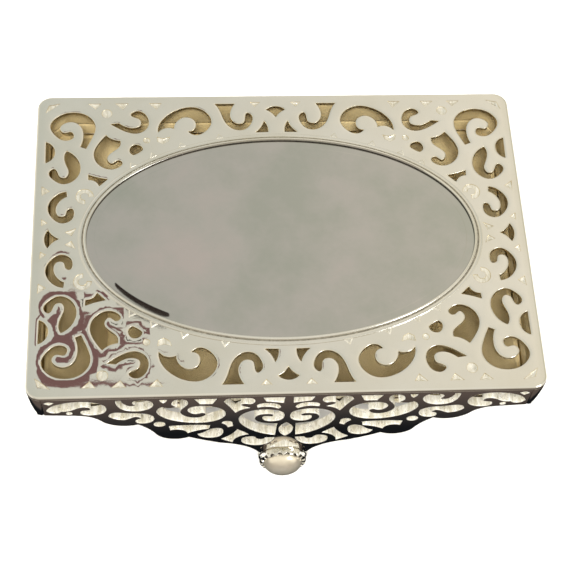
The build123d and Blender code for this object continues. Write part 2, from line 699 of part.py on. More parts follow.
with BuildPart() as knob_nut:
    with BuildSketch(knob_plane.offset(-apron_thickness - washer_thickness)):
        RegularPolygon(nut_width / 2, 6, major_radius=False)
        Circle(stud_radius + screw_fit, mode=Mode.SUBTRACT)
    extrude(amount=-nut_thickness)
finish(knob_nut.part, "knob_nut")

# ---------------------------------------------------------------- casket
with BuildPart() as top_rim:
    with BuildSketch(Plane.XY.offset(wall_top)):
        RectangleRounded(2 * rim_half_x, 2 * rim_half_y, lid_corner)
        RectangleRounded(
            2 * (rim_half_x - rim_width),
            2 * (rim_half_y - rim_width),
            lid_corner - rim_width,
            mode=Mode.SUBTRACT,
        )
    extrude(amount=rim_height)
    with BuildSketch(Plane((0, rim_half_y, box_rivet_height), x_dir=(-1, 0, 0), z_dir=(0, 1, 0))):
        with GridLocations(hinge_spacing, 0, 2, 1):
            with GridLocations(hinge_width - 2 * rivet_inset, 0, 2, 1):
                Circle(rivet_radius + rivet_fit)
    extrude(amount=-rim_width, mode=Mode.SUBTRACT)
finish(top_rim.part, "top_rim")

with BuildPart() as rim_lining:
    outer_inset = rim_width + liner_fit
    inner_inset = skirt_thickness + liner_fit + lining_thickness  # in line with the lid's lining
    with BuildSketch(Plane.XY.offset(wall_top)):
        RectangleRounded(
            2 * (rim_half_x - outer_inset),
            2 * (rim_half_y - outer_inset),
            lid_corner - rim_width,
        )
        RectangleRounded(
            2 * (rim_half_x - inner_inset),
            2 * (rim_half_y - inner_inset),
            lining_corner,
            mode=Mode.SUBTRACT,
        )
    extrude(amount=rim_height - lining_lift)
finish(rim_lining.part, "rim_lining")

liner_outside = wall_thickness + liner_fit
liner_inside = liner_outside + liner_thickness
for side in side_ways:
    with BuildPart() as wall:
        add(sloped_block(base_top, wall_top, 0))
        add(sloped_block(base_top, wall_top, wall_thickness), mode=Mode.SUBTRACT)
        add(side_wedge(side), mode=Mode.INTERSECT)
        extrude(wall_cutouts(side), amount=-wall_thickness, both=True, mode=Mode.SUBTRACT)
    finish(wall.part, f"{side}_wall")

    with BuildPart() as liner:
        add(sloped_block(board_top, wall_top, liner_outside))
        add(sloped_block(board_top, wall_top, liner_inside, liner_corner), mode=Mode.SUBTRACT)
        add(side_wedge(side), mode=Mode.INTERSECT)
    finish(liner.part, f"{side}_liner")

base_half_x, base_half_y = (half + base_edge for half in wall_half_sizes(base_top))
room_half_x, room_half_y = (half - wall_thickness for half in wall_half_sizes(base_top))
screw_spacing = (2 * room_half_x - lug_size, 2 * room_half_y - lug_size)

with BuildPart() as base_plate:
    with BuildSketch(Plane.XY.offset(felt_thickness)):
        RectangleRounded(2 * base_half_x, 2 * base_half_y, wall_corner + base_edge)
    extrude(amount=base_thickness)
    fillet(base_plate.faces().sort_by(Axis.Z)[0].edges(), base_round)
    with Locations(Plane((0, 0, felt_thickness), z_dir=(0, 0, -1))):
        with GridLocations(*screw_spacing, 2, 2):
            CounterSinkHole(screw_radius + screw_fit, screw_head_radius, base_thickness, countersink_angle)
finish(base_plate.part, "base_plate")

with BuildPart() as corner_lugs:
    add(sloped_block(base_top, board_bottom, wall_thickness))
    with BuildSketch(Plane.XY.offset(base_top)):
        with GridLocations(2 * room_half_x, 2 * room_half_y, 2, 2):
            Rectangle(2 * lug_size, 2 * lug_size)
    extrude(amount=lug_height, mode=Mode.INTERSECT)
    with BuildSketch(Plane.XY.offset(base_top)):
        with GridLocations(*screw_spacing, 2, 2):
            Circle(screw_radius + screw_fit)
    extrude(amount=screw_length - base_thickness + screw_fit, mode=Mode.SUBTRACT)
finish(corner_lugs.part, "corner_lugs")

with BuildPart() as screw:
    head_radius = screw_head_radius - screw_fit
    countersink = tan(radians(countersink_angle / 2))
    with BuildSketch(Plane.XZ):
        Polygon(
            (0, 0),
            (head_radius, 0),
            (screw_radius, (head_radius - screw_radius) / countersink),
            (screw_radius, screw_length),
            (0, screw_length),
            align=None,
        )
    revolve(axis=Axis.Z)
    Box(2 * screw_head_radius, screw_slot_width, 2 * screw_slot_depth, mode=Mode.SUBTRACT)

with BuildPart() as base_screws:
    with Locations((0, 0, felt_thickness)):
        with GridLocations(*screw_spacing, 2, 2):
            add(screw.part)
finish(base_screws.part, "base_screws")

with BuildPart() as base_felt:
    with BuildSketch():
        RectangleRounded(
            2 * (base_half_x - base_round - felt_inset),
            2 * (base_half_y - base_round - felt_inset),
            wall_corner,
        )
    extrude(amount=felt_thickness)
finish(base_felt.part, "base_felt")

with BuildPart() as floor_board:
    add(sloped_block(board_bottom, board_top, liner_outside))
finish(floor_board.part, "floor_board")

with BuildPart() as floor_pad:
    add(sloped_block(board_top, board_top + pad_thickness, liner_inside + pad_fit, liner_corner))
finish(floor_pad.part, "floor_pad")

# ---------------------------------------------------------------- hinges
knuckle_length = hinge_width / 3
outer_knuckle = knuckle_length - knuckle_gap / 2
outer_offset = (hinge_width - outer_knuckle) / 2
middle_knuckle = knuckle_length - knuckle_gap
for side, way in (("left", -1), ("right", 1)):
    hinge_x = way * hinge_spacing / 2
    leaf_face = Plane((hinge_x, rim_half_y, 0), x_dir=(-1, 0, 0), z_dir=(0, 1, 0))
    across = Plane((hinge_x, hinge_axis_y, parting), x_dir=(0, 1, 0), z_dir=(1, 0, 0))
    rivet_offset = hinge_width / 2 - rivet_inset

    with BuildPart() as box_leaf:
        with BuildSketch(leaf_face):
            with Locations((0, box_leaf_bottom)):
                Rectangle(hinge_width, box_leaf_top - box_leaf_bottom, align=(Align.CENTER, Align.MIN))
            with Locations((-outer_offset, box_leaf_bottom), (outer_offset, box_leaf_bottom)):
                Rectangle(outer_knuckle, parting - box_leaf_bottom, align=(Align.CENTER, Align.MIN))
            with Locations((-rivet_offset, box_rivet_height), (rivet_offset, box_rivet_height)):
                Circle(rivet_radius + rivet_fit, mode=Mode.SUBTRACT)
        extrude(amount=hinge_leaf)
        for offset in (-outer_offset, outer_offset):
            with BuildSketch(across.offset(offset)):
                Circle(knuckle_radius)
            extrude(amount=outer_knuckle / 2, both=True)
        with BuildSketch(across):
            Circle(pin_radius + pin_fit)
        extrude(amount=hinge_width, both=True, mode=Mode.SUBTRACT)
    finish(box_leaf.part, f"hinge_box_leaf_{side}")

    with BuildPart() as lid_leaf:
        with BuildSketch(leaf_face):
            with Locations((0, lid_leaf_bottom)):
                Rectangle(hinge_width, lid_leaf_height, align=(Align.CENTER, Align.MIN))
            with Locations((0, parting)):
                Rectangle(middle_knuckle, lid_leaf_bottom - parting, align=(Align.CENTER, Align.MIN))
            with Locations((-rivet_offset, lid_leaf_middle), (rivet_offset, lid_leaf_middle)):
                Circle(rivet_radius + rivet_fit, mode=Mode.SUBTRACT)
        extrude(amount=hinge_leaf)
        with BuildSketch(across):
            Circle(knuckle_radius)
        extrude(amount=middle_knuckle / 2, both=True)
        with BuildSketch(across):
            Circle(pin_radius + pin_fit)
        extrude(amount=hinge_width, both=True, mode=Mode.SUBTRACT)
    finish(lid_leaf.part, f"hinge_lid_leaf_{side}")

    with BuildPart() as hinge_pin:
        with BuildSketch(across):
            Circle(pin_radius)
        extrude(amount=hinge_width / 2 + pin_head_height, both=True)
        for offset in (-hinge_width / 2 - pin_head_height, hinge_width / 2):
            with BuildSketch(across.offset(offset)):
                Circle(pin_head_radius)
            extrude(amount=pin_head_height)
    finish(hinge_pin.part, f"hinge_pin_{side}")

for half, height, depth in (
    ("box", box_rivet_height, rim_width),
    ("lid", lid_leaf_middle, skirt_thickness),
):
    with BuildPart() as rivets:
        face = Plane((0, rim_half_y + hinge_leaf, height), x_dir=(-1, 0, 0), z_dir=(0, 1, 0))
        with BuildSketch(face):
            with GridLocations(hinge_spacing, 0, 2, 1):
                with GridLocations(hinge_width - 2 * rivet_inset, 0, 2, 1):
                    Circle(rivet_head_radius)
        extrude(amount=rivet_head_height)
        with BuildSketch(face):
            with GridLocations(hinge_spacing, 0, 2, 1):
                with GridLocations(hinge_width - 2 * rivet_inset, 0, 2, 1):
                    Circle(rivet_radius)
        extrude(amount=-hinge_leaf - depth)
    finish(rivets.part, f"hinge_{half}_rivets")
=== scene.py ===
import math

import bmesh
import bpy
from mathutils import Matrix, Vector
from mathutils.geometry import delaunay_2d_cdt
from mathutils.kdtree import KDTree


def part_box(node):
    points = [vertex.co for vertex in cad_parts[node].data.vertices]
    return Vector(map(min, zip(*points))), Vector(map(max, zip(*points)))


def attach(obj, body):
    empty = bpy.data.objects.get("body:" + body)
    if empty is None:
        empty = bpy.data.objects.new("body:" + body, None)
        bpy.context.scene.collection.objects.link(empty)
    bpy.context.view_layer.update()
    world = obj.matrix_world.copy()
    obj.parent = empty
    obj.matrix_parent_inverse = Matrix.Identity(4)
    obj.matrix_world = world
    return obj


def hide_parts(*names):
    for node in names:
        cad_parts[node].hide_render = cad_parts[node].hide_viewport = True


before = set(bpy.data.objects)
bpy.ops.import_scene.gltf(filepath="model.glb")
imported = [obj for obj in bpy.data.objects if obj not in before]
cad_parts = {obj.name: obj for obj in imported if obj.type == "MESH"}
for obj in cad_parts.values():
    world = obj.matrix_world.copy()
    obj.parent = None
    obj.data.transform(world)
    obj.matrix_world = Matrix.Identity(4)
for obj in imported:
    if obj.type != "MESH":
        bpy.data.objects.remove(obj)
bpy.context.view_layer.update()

MM = 0.001

# Places that come from the frame
lid_low, lid_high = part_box("lid_plate")
lid_centre = (lid_low + lid_high) / 2
lid_top = lid_high.z
lid_under = lid_low.z
glass_low, glass_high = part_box("mirror_glass")
apron_low, apron_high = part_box("front_apron")
cup_low, cup_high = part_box("knob_cup")
pearl_low, pearl_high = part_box("knob_pearl")
pad_low, pad_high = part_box("floor_pad")
felt_low, felt_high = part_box("base_felt")


# ---------------------------------------------------------------- outlines read from the CAD plates
def face_loops(node, axis, level):
    """Closed outlines of a CAD plate's flat face, with the metal on their left as the face is seen."""
    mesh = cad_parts[node].data
    flat = [i for i in range(3) if i != axis]
    places = {}
    edges = set()
    for polygon in mesh.polygons:
        corners = [mesh.vertices[i].co for i in polygon.vertices]
        if any(abs(corner[axis] - level) > 1e-6 for corner in corners):
            continue
        keys = [tuple(round(corner[i] * 1e7) for i in flat) for corner in corners]
        for key, corner in zip(keys, corners):
            places[key] = Vector((corner[flat[0]], corner[flat[1]]))
        for start, end in zip(keys, keys[1:] + keys[:1]):
            if (end, start) in edges:
                edges.remove((end, start))
            elif start != end:
                edges.add((start, end))
    following = dict(edges)
    loops = []
    while following:
        first, here = next(iter(following.items()))
        loop = [places[first]]
        del following[first]
        while here in following:
            loop.append(places[here])
            here = following.pop(here)
        loops.append(loop)
    return loops


def finer(loop, corner_angle):
    """A loop with a point added between each two neighbours, on the smooth curve through them."""
    count = len(loop)
    sharp = []
    for i, point in enumerate(loop):
        before = point - loop[i - 1]
        after = loop[(i + 1) % count] - point
        sharp.append(abs(before.angle_signed(after, 0.0)) > corner_angle)
    points = []
    for i, point in enumerate(loop):
        following = loop[(i + 1) % count]
        before = loop[i - 1] if not sharp[i] else point - (following - point)
        after = loop[(i + 2) % count] if not sharp[(i + 1) % count] else following + (following - point)
        points.append(point)
        points.append((point + following) * 0.5625 - (before + after) * 0.0625)
    return points


def spaced(loop, shortest):
    """A loop without the points that crowd closer than the shortest length."""
    kept = [loop[0]]
    for point in loop[1:]:
        if (point - kept[-1]).length >= shortest:
            kept.append(point)
    if (kept[0] - kept[-1]).length < shortest:
        kept.pop()
    return kept


def even(loop, shortest, longest, corner_angle=math.radians(24)):
    """A loop with its points spread evenly, between two lengths apart, and its corners kept."""
    kept = [loop[0]]
    for i in range(1, len(loop)):
        point = loop[i]
        before = point - loop[i - 1]
        after = loop[(i + 1) % len(loop)] - point
        corner = abs(before.angle_signed(after, 0.0)) > corner_angle
        if corner or (point - kept[-1]).length >= shortest:
            kept.append(point)
    points = []
    for i, point in enumerate(kept):
        following = kept[(i + 1) % len(kept)]
        parts = max(1, math.ceil((following - point).length / longest))
        points += [point.lerp(following, part / parts) for part in range(parts)]
    return points


def inset(loop, distance, longest_mitre=1.6):
    """A loop moved to its left by a distance, with mitred corners."""
    moved = []
    for i, point in enumerate(loop):
        before = (point - loop[i - 1]).normalized()
        after = (loop[(i + 1) % len(loop)] - point).normalized()
        left = Vector((-before.y - after.y, before.x + after.x))
        if left.length < 1e-6:
            left = Vector((-before.y, before.x))
        left.normalize()
        mitre = 1 / max(left.dot(Vector((-before.y, before.x))), 1 / longest_mitre)
        moved.append(point + left * distance * mitre)
    return moved


def signed_area(loop):
    return sum(a.cross(b) for a, b in zip(loop, loop[1:] + loop[:1])) / 2


# ---------------------------------------------------------------- mesh tools
def add_piece(name, mesh, body, replaced=()):
    """Put a finished mesh on its CAD body."""
    piece = bpy.data.objects.new(name, mesh)
    bpy.context.scene.collection.objects.link(piece)
    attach(piece, body)
    if replaced:
        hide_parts(*replaced)
    return piece


def smooth(mesh, crease=38):
    """Smooth shading, except across creases sharper than an angle in degrees."""
    mesh.shade_smooth()
    mesh.set_sharp_from_angle(angle=math.radians(crease))


def quarter_round(radius, steps, start=0.0):
    """Insets and drops round the upper edge of a plate, from a slope on its face down to its wall."""
    angles = [start + (math.pi / 2 - start) * i / steps for i in range(steps + 1)]
    return [(radius * (1 - math.sin(a)), radius * (math.cos(start) - math.cos(a))) for a in angles]


def grid_between(loops, spacing):
    """Columns and rows of the grid points that lie inside the outer loop and outside the others."""
    rows = {}
    for loop in loops:
        for a, b in zip(loop, loop[1:] + loop[:1]):
            for row in range(math.ceil(min(a.y, b.y) / spacing), math.ceil(max(a.y, b.y) / spacing)):
                share = (row * spacing - a.y) / (b.y - a.y)
                rows.setdefault(row, []).append(a.x + (b.x - a.x) * share)
    places = []
    for row, crossings in sorted(rows.items()):
        crossings.sort()
        for start, end in zip(crossings[::2], crossings[1::2]):
            columns = range(math.ceil(start / spacing), math.ceil(end / spacing))
            places += [(column, row) for column in columns]
    return places


def tree_of(points):
    tree = KDTree(len(points))
    for i, point in enumerate(points):
        tree.insert((point.x, point.y, 0), i)
    tree.balance()
    return tree


class Plate:
    """A pierced plate with rounded edges: a face, edge profiles down its openings, and a back."""

    def __init__(self, place, thickness, sink=lambda point: 0.0):
        self.work = bmesh.new()
        self.place = place
        self.thickness = thickness
        self.sink = sink
        self.front = []
        self.back = []
        self.flat = []
        self.pits = []

    def border(self, loop, profile, through=True):
        """Walls that follow a loop, by insets into the metal and depths under the face."""
        sunk = [self.sink(point) for point in inset(loop, profile[0][0])]
        rings = []
        for step, depth in profile:
            left = 1 - depth / self.thickness
            rings.append([
                self.work.verts.new(self.place(point.x, point.y, depth + drop * left))
                for point, drop in zip(inset(loop, step), sunk)
            ])
        for upper, lower in zip(rings, rings[1:]):
            for i in range(len(loop)):
                j = (i + 1) % len(loop)
                self.work.faces.new((upper[j], upper[i], lower[i], lower[j]))
        self.front.append(rings[0])
        if through:
            self.back.append(rings[-1])
        return rings[-1]

    def point_down(self, ring, depth):
        """Close a pit with facets that meet in its middle, or with a floor where it bends."""
        places = [Vector((vertex.co.x, vertex.co.y)) for vertex in ring]
        middle = middle_of(places)
        turns = [(a - middle).cross(b - middle) for a, b in zip(places, places[1:] + places[:1])]
        if min(turns) * max(turns) <= 0:
            floor = len(self.flat)
            self.fill([ring])
            self.pits += self.flat[floor:]
            return
        deepest = self.work.verts.new(self.place(middle.x, middle.y, depth))
        for a, b in zip(ring, ring[1:] + ring[:1]):
            self.flat.append(self.work.faces.new((a, b, deepest)))
            self.pits.append(self.flat[-1])

    def fill(self, rings):
        """Flat face between closed rings."""
        edges = []
        for ring in rings:
            for a, b in zip(ring, ring[1:] + ring[:1]):
                edges.append(self.work.edges.get((a, b)) or self.work.edges.new((a, b)))
        made = bmesh.ops.triangle_fill(self.work, edges=edges, use_beauty=True, use_dissolve=False)
        self.flat += [face for face in made["geom"] if isinstance(face, bmesh.types.BMFace)]

    def net(self, spacing, clear, sparse):
        """Fill the face with a fine net that follows its soft shoulders, and is sparse where it is flat."""
        owners = [(ring, i) for ring in range(len(self.front)) for i in range(len(self.front[ring]))]
        made = [vertex for ring in self.front for vertex in ring]
        places = [Vector((vertex.co.x, vertex.co.y)) for vertex in made]
        loops = [[Vector((vertex.co.x, vertex.co.y)) for vertex in ring] for ring in self.front]
        edges = []
        first = 0
        for ring in self.front:
            count = len(ring)
            edges += [(first + i, first + (i + 1) % count) for i in range(count)]
            first += count
        borders = tree_of(places)
        for column, row in grid_between(loops, spacing):
            point = Vector((column * spacing, row * spacing))
            drop = self.sink(point)
            if borders.find((point.x, point.y, 0))[2] < clear:
                continue
            if drop > 0 or (column % sparse == 0 and row % sparse == 0):
                made.append(self.work.verts.new(self.place(point.x, point.y, drop)))
                places.append(point)
        triangles = delaunay_2d_cdt(places, edges, [], 0, 1e-9)
        sources = triangles[3]
        for triangle in triangles[2]:
            picked = [sources[i][0] for i in triangle]
            if max(picked) < len(owners) and len({owners[i][0] for i in picked}) == 1:
                a, b, c = (places[i] for i in sorted(picked))
                if (b - a).cross(c - a) <= 0:
                    continue
            self.work.faces.new([made[i] for i in picked])

    def mesh(self, name):
        """Close the back, and return the finished mesh."""
        self.fill(self.back)
        bmesh.ops.recalc_face_normals(self.work, faces=self.work.faces)
        self.work.faces.index_update()
        indices = [face.index for face in self.flat]
        self.pits = [face.index for face in self.pits]
        mesh = bpy.data.meshes.new(name)
        self.work.to_mesh(mesh)
        self.work.free()
        smooth(mesh)
        for index in indices:
            mesh.polygons[index].use_smooth = False
        return mesh


def skin(name, rings, joined=False, crease=38):
    """Mesh through closed rings of the same count, capped at both ends or joined into a loop."""
    work = bmesh.new()
    made = [[work.verts.new(point) for point in ring] for ring in rings]
    pairs = list(zip(made, made[1:]))
    if joined:
        pairs.append((made[-1], made[0]))
    else:
        work.faces.new(made[0])
        work.faces.new(made[-1][::-1])
    count = len(made[0])
    for lower, upper in pairs:
        for i in range(count):
            j = (i + 1) % count
            work.faces.new((lower[i], lower[j], upper[j], upper[i]))
    bmesh.ops.recalc_face_normals(work, faces=work.faces)
    mesh = bpy.data.meshes.new(name)
    work.to_mesh(mesh)
    work.free()
    smooth(mesh, crease)
    return mesh


def softened(node, width, name, body, segments=2, crease=38):
    """A copy of a CAD node with its sharp edges rounded, which stands for it."""
    work = bmesh.new()
    work.from_mesh(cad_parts[node].data)
    bmesh.ops.remove_doubles(work, verts=work.verts, dist=1e-7)
    bmesh.ops.dissolve_limit(work, angle_limit=math.radians(0.5), verts=work.verts, edges=work.edges)
    sharp = [edge for edge in work.edges if edge.calc_face_angle(0) > math.radians(35)]
    bmesh.ops.bevel(work, geom=sharp, offset=width, segments=segments, profile=0.5,
                    affect="EDGES", clamp_overlap=False, harden_normals=False)
    mesh = bpy.data.meshes.new(name)
    work.to_mesh(mesh)
    work.free()
    smooth(mesh, crease)
    return add_piece(name, mesh, body, [node])


def rounded_rectangle(half_x, half_y, radius, steps):
    """Points round a rectangle with round corners, from the middle of its right back corner."""
    points = []
    for quarter, (way_x, way_y) in enumerate(((1, 1), (-1, 1), (-1, -1), (1, -1))):
        for i in range(steps + 1):
            angle = math.pi / 2 * (quarter + i / steps)
            points.append(Vector((
                way_x * (half_x - radius) + radius * math.cos(angle),
                way_y * (half_y - radius) + radius * math.sin(angle),
            )))
    half = steps // 2
    return points[half:] + points[:half]


def oval(grow, height, count=192):
    """Ring of points on the oval that stands outside the mirror's opening by grow."""
    half_x = OPENING_X + grow
    half_y = OPENING_Y + grow
    angles = [math.tau * i / count for i in range(count)]
    return [
        Vector((lid_centre.x + half_x * math.cos(a), lid_centre.y + half_y * math.sin(a), height))
        for a in angles
    ]


# ---------------------------------------------------------------- materials
class Finish:
    """A node material that is built up from textures in the piece's own space."""

    def __init__(self, name, **sockets):
        self.material = bpy.data.materials.new(name)
        self.material.use_nodes = True
        self.nodes = self.material.node_tree.nodes
        self.links = self.material.node_tree.links
        self.shader = self.nodes["Principled BSDF"]
        self.place = self.nodes.new("ShaderNodeTexCoord")
        for socket, value in sockets.items():
            self.shader.inputs[socket.replace("_", " ")].default_value = value

    def noise(self, scale, detail=3.0, roughness=0.5, stretch=None):
        """Cloudy texture with a number of features per metre."""
        texture = self.nodes.new("ShaderNodeTexNoise")
        texture.inputs["Scale"].default_value = scale
        texture.inputs["Detail"].default_value = detail
        texture.inputs["Roughness"].default_value = roughness
        source = self.place.outputs["Object"]
        if stretch:
            mapping = self.nodes.new("ShaderNodeMapping")
            mapping.inputs["Scale"].default_value = stretch
            self.links.new(source, mapping.inputs["Vector"])
            source = mapping.outputs["Vector"]
        self.links.new(source, texture.inputs["Vector"])
        return texture.outputs["Fac"]

    def ramp(self, source, *stops):
        """Colours or values along a texture, as (position, colour) pairs."""
        ramp = self.nodes.new("ShaderNodeValToRGB")
        for element, (position, colour) in zip(ramp.color_ramp.elements, (stops[0], stops[-1])):
            element.position = position
            element.color = self.rgba(colour)
        for position, colour in stops[1:-1]:
            ramp.color_ramp.elements.new(position).color = self.rgba(colour)
        self.links.new(source, ramp.inputs["Fac"])
        return ramp.outputs["Color"]

    @staticmethod
    def rgba(colour):
        if isinstance(colour, (int, float)):
            return (colour, colour, colour, 1)
        return (*colour, 1)

    def mix(self, factor, first, second, blend="MIX"):
        """Two colours mixed by a texture or a number."""
        mix = self.nodes.new("ShaderNodeMix")
        mix.data_type = "RGBA"
        mix.blend_type = blend
        sockets = (mix.inputs["Factor"], mix.inputs[6], mix.inputs[7])
        for socket, value in zip(sockets, (factor, first, second)):
            if isinstance(value, bpy.types.NodeSocket):
                self.links.new(value, socket)
            elif isinstance(value, (int, float)):
                socket.default_value = value
            else:
                socket.default_value = self.rgba(value)
        return mix.outputs[2]

    def bump(self, height, strength, distance):
        """Relief from a texture, on top of any that is there already."""
        bump = self.nodes.new("ShaderNodeBump")
        bump.inputs["Strength"].default_value = strength
        bump.inputs["Distance"].default_value = distance
        self.links.new(height, bump.inputs["Height"])
        normal = self.shader.inputs["Normal"]
        if normal.is_linked:
            self.links.new(normal.links[0].from_socket, bump.inputs["Normal"])
        self.links.new(bump.outputs["Normal"], normal)

    def use(self, socket, source):
        self.links.new(source, self.shader.inputs[socket])


def silver_plate(name, bright, dull, roughness, wave=1.0):
    """Polished silver plate on a casting: faint waves, a soft tarnish and fine wiping marks."""
    finish = Finish(name, Metallic=1.0)
    tarnish = finish.ramp(finish.noise(45, 5, 0.6), (0.35, bright), (0.75, dull))
    finish.use("Base Color", tarnish)
    wear = finish.noise(160, 6, 0.65)
    finish.use("Roughness", finish.ramp(wear, (0.3, roughness), (0.75, 2.2 * roughness)))
    finish.bump(finish.noise(55, 2, 0.4), 0.10 * wave, 0.0006)
    finish.bump(finish.noise(1500, 3, 0.6), 0.05, 0.00003)
    return finish.material


def mirror_silvering():
    """Old bevelled mirror, clouded from greenish grey to a faint pink."""
    finish = Finish("mirror_silvering", Metallic=1.0)
    cloud = finish.ramp(finish.noise(26, 5, 0.6), (0.36, (0.52, 0.53, 0.49)), (0.5, (0.60, 0.58, 0.56)),
                        (0.64, (0.66, 0.60, 0.59)))
    specks = finish.ramp(finish.noise(1500, 2, 0.5), (0.70, 0.97), (0.78, 1.0))
    finish.use("Base Color", finish.mix(1.0, cloud, specks, "MULTIPLY"))
    finish.use("Roughness", finish.ramp(finish.noise(90, 5, 0.7), (0.35, 0.008), (0.7, 0.03)))
    finish.bump(finish.noise(16, 1, 0.4), 0.03, 0.0005)
    return finish.material


def velvet(name, light, dark):
    """Short-pile velvet: a soft sheen, brushed patches and a fine pile."""
    finish = Finish(name, Roughness=0.95, Sheen_Weight=0.7, Sheen_Roughness=0.45,
                    Specular_IOR_Level=0.15)
    finish.shader.inputs["Sheen Tint"].default_value = (*light, 1)
    patches = finish.ramp(finish.noise(70, 3, 0.55, (1, 0.6, 1)), (0.35, dark), (0.68, light))
    pile = finish.ramp(finish.noise(2600, 4, 0.7), (0.3, 0.8), (0.7, 1.0))
    finish.use("Base Color", finish.mix(1.0, patches, pile, "MULTIPLY"))
    finish.bump(finish.noise(3200, 3, 0.7), 0.6, 0.0003)
    finish.bump(finish.noise(240, 3, 0.5), 0.25, 0.0005)
    return finish.material


def pressed_felt():
    """Brown felt: matted fibres in all directions."""
    finish = Finish("pressed_felt", Roughness=1.0, Sheen_Weight=0.3, Sheen_Roughness=0.6,
                    Specular_IOR_Level=0.1)
    fibres = finish.noise(900, 6, 0.75, (1, 2.4, 1))
    finish.use("Base Color", finish.ramp(fibres, (0.3, (0.13, 0.09, 0.055)), (0.75, (0.27, 0.2, 0.13))))
    finish.bump(fibres, 0.8, 0.0004)
    return finish.material


def fibreboard():
    """Brown hardboard with pressed fibres."""
    finish = Finish("brown_fibreboard", Roughness=0.8)
    fibres = finish.noise(420, 8, 0.75, (1, 3, 1))
    finish.use("Base Color", finish.ramp(fibres, (0.3, (0.16, 0.1, 0.055)), (0.7, (0.33, 0.23, 0.14))))
    finish.bump(fibres, 0.4, 0.0003)
    return finish.material


def pearl_lacquer():
    """Imitation pearl: cream with a soft lustre under a clear coat."""
    finish = Finish("pearl_lacquer", Metallic=0.7, Roughness=0.28, Coat_Weight=0.9, Coat_Roughness=0.1)
    cloud = finish.noise(220, 3, 0.5)
    finish.use("Base Color", finish.ramp(cloud, (0.3, (0.74, 0.65, 0.50)), (0.7, (0.84, 0.77, 0.63))))
    finish.bump(finish.noise(500, 2, 0.5), 0.05, 0.0002)
    return finish.material


def steel(name, light, dark, roughness):
    """Drawn and turned metal with fine scratches along it."""
    finish = Finish(name, Metallic=1.0)
    scratches = finish.noise(900, 4, 0.6, (1, 9, 9))
    finish.use("Base Color", finish.ramp(finish.noise(300, 4, 0.6), (0.3, dark), (0.7, light)))
    finish.use("Roughness", finish.ramp(scratches, (0.3, roughness), (0.7, roughness + 0.15)))
    finish.bump(scratches, 0.15, 0.00006)
    return finish.material


def struck_edges(name, metallic, bright, dull):
    """Walls of the pierced openings: rougher than the faces, with uneven marks down the wall."""
    finish = Finish(name, Metallic=metallic)
    marks = finish.noise(800, 4, 0.7, (1, 0.25, 1))
    finish.use("Base Color", finish.ramp(marks, (0.36, dull), (0.6, bright)))
    finish.use("Roughness", finish.ramp(finish.noise(400, 4, 0.6), (0.3, 0.22), (0.7, 0.4)))
    finish.bump(marks, 0.4, 0.0003)
    return finish.material


def dark_metal(name, dark, light):
    """Dull dark metal: tarnish in hollows that polishing can't reach, and painted shade where it stands for
    a dark gap.
    """
    finish = Finish(name, Metallic=0.7)
    grime = finish.noise(900, 4, 0.6)
    finish.use("Base Color", finish.ramp(grime, (0.35, dark), (0.7, light)))
    finish.use("Roughness", finish.ramp(grime, (0.3, 0.35), (0.7, 0.6)))
    return finish.material


LIGHT_SILVER = (0.89, 0.87, 0.82)
DULL_SILVER = (0.84, 0.81, 0.73)
top_silver = silver_plate("polished_silver_plate", LIGHT_SILVER, DULL_SILVER, 0.025, 0.7)
edge_gold = struck_edges("golden_opening_edges", 1.0, (0.86, 0.78, 0.58), (0.66, 0.56, 0.36))
edge_silver = struck_edges("struck_silver_edges", 0.5, (0.97, 0.95, 0.88), (0.62, 0.58, 0.46))
struck_pits = struck_edges("struck_pits", 0.85, (0.95, 0.92, 0.84), (0.68, 0.64, 0.53))
# Near-black metal: painted shade on the bezel's wall beside the glass, where the gap is in shade, and
# painted dark in the deepest notches of the cup.
tarnish = dark_metal("gap_shade_and_tarnish", (0.035, 0.03, 0.026), (0.12, 0.10, 0.08))
groove_tarnish = dark_metal("groove_tarnish", (0.22, 0.20, 0.16), (0.50, 0.46, 0.38))
cast_silver = silver_plate("cast_silver_plate", (0.82, 0.77, 0.65), (0.70, 0.63, 0.48), 0.14, 1.6)
bezel_silver = silver_plate("turned_silver", LIGHT_SILVER, (0.80, 0.77, 0.68), 0.09, 1.2)
glass_silvering = mirror_silvering()
tan_velvet = velvet("tan_velvet", (0.80, 0.65, 0.36), (0.62, 0.49, 0.25))
brown_felt = pressed_felt()
board = fibreboard()
pearl = pearl_lacquer()
hinge_metal = steel("hinge_plate", (0.76, 0.74, 0.69), (0.60, 0.57, 0.50), 0.2)
plain_steel = steel("plain_steel", (0.62, 0.61, 0.59), (0.42, 0.41, 0.40), 0.28)

# ---------------------------------------------------------------- lid top and apron
PIT_DEPTH = 0.5 * MM
PIT_LIP = 0.16 * MM
LID_EDGE = 1.0 * MM
LID_CORNER = 4.5 * MM
OPENING_EDGE = 0.3 * MM
BACK_EDGE = 0.15 * MM
SHOULDER = 0.75 * MM  # reach of the soft shoulder round an opening
SHOULDER_DROP = 0.06 * MM
BORDER = 2.2 * MM  # and along the lid's outside
BORDER_DROP = 0.11 * MM
CORNER = math.radians(32)


def middle_of(loop):
    return sum(loop, Vector((0, 0))) / len(loop)


def opening_profile(edge, thickness, steps, start=0.0):
    return quarter_round(edge, steps, start) + [(0, thickness - BACK_EDGE), (BACK_EDGE, thickness)]


def shoulder(distance, reach, drop):
    """Depth of a soft shoulder at a distance from the edge that it falls to."""
    return drop * max(0.0, 1 - distance / reach) ** 2


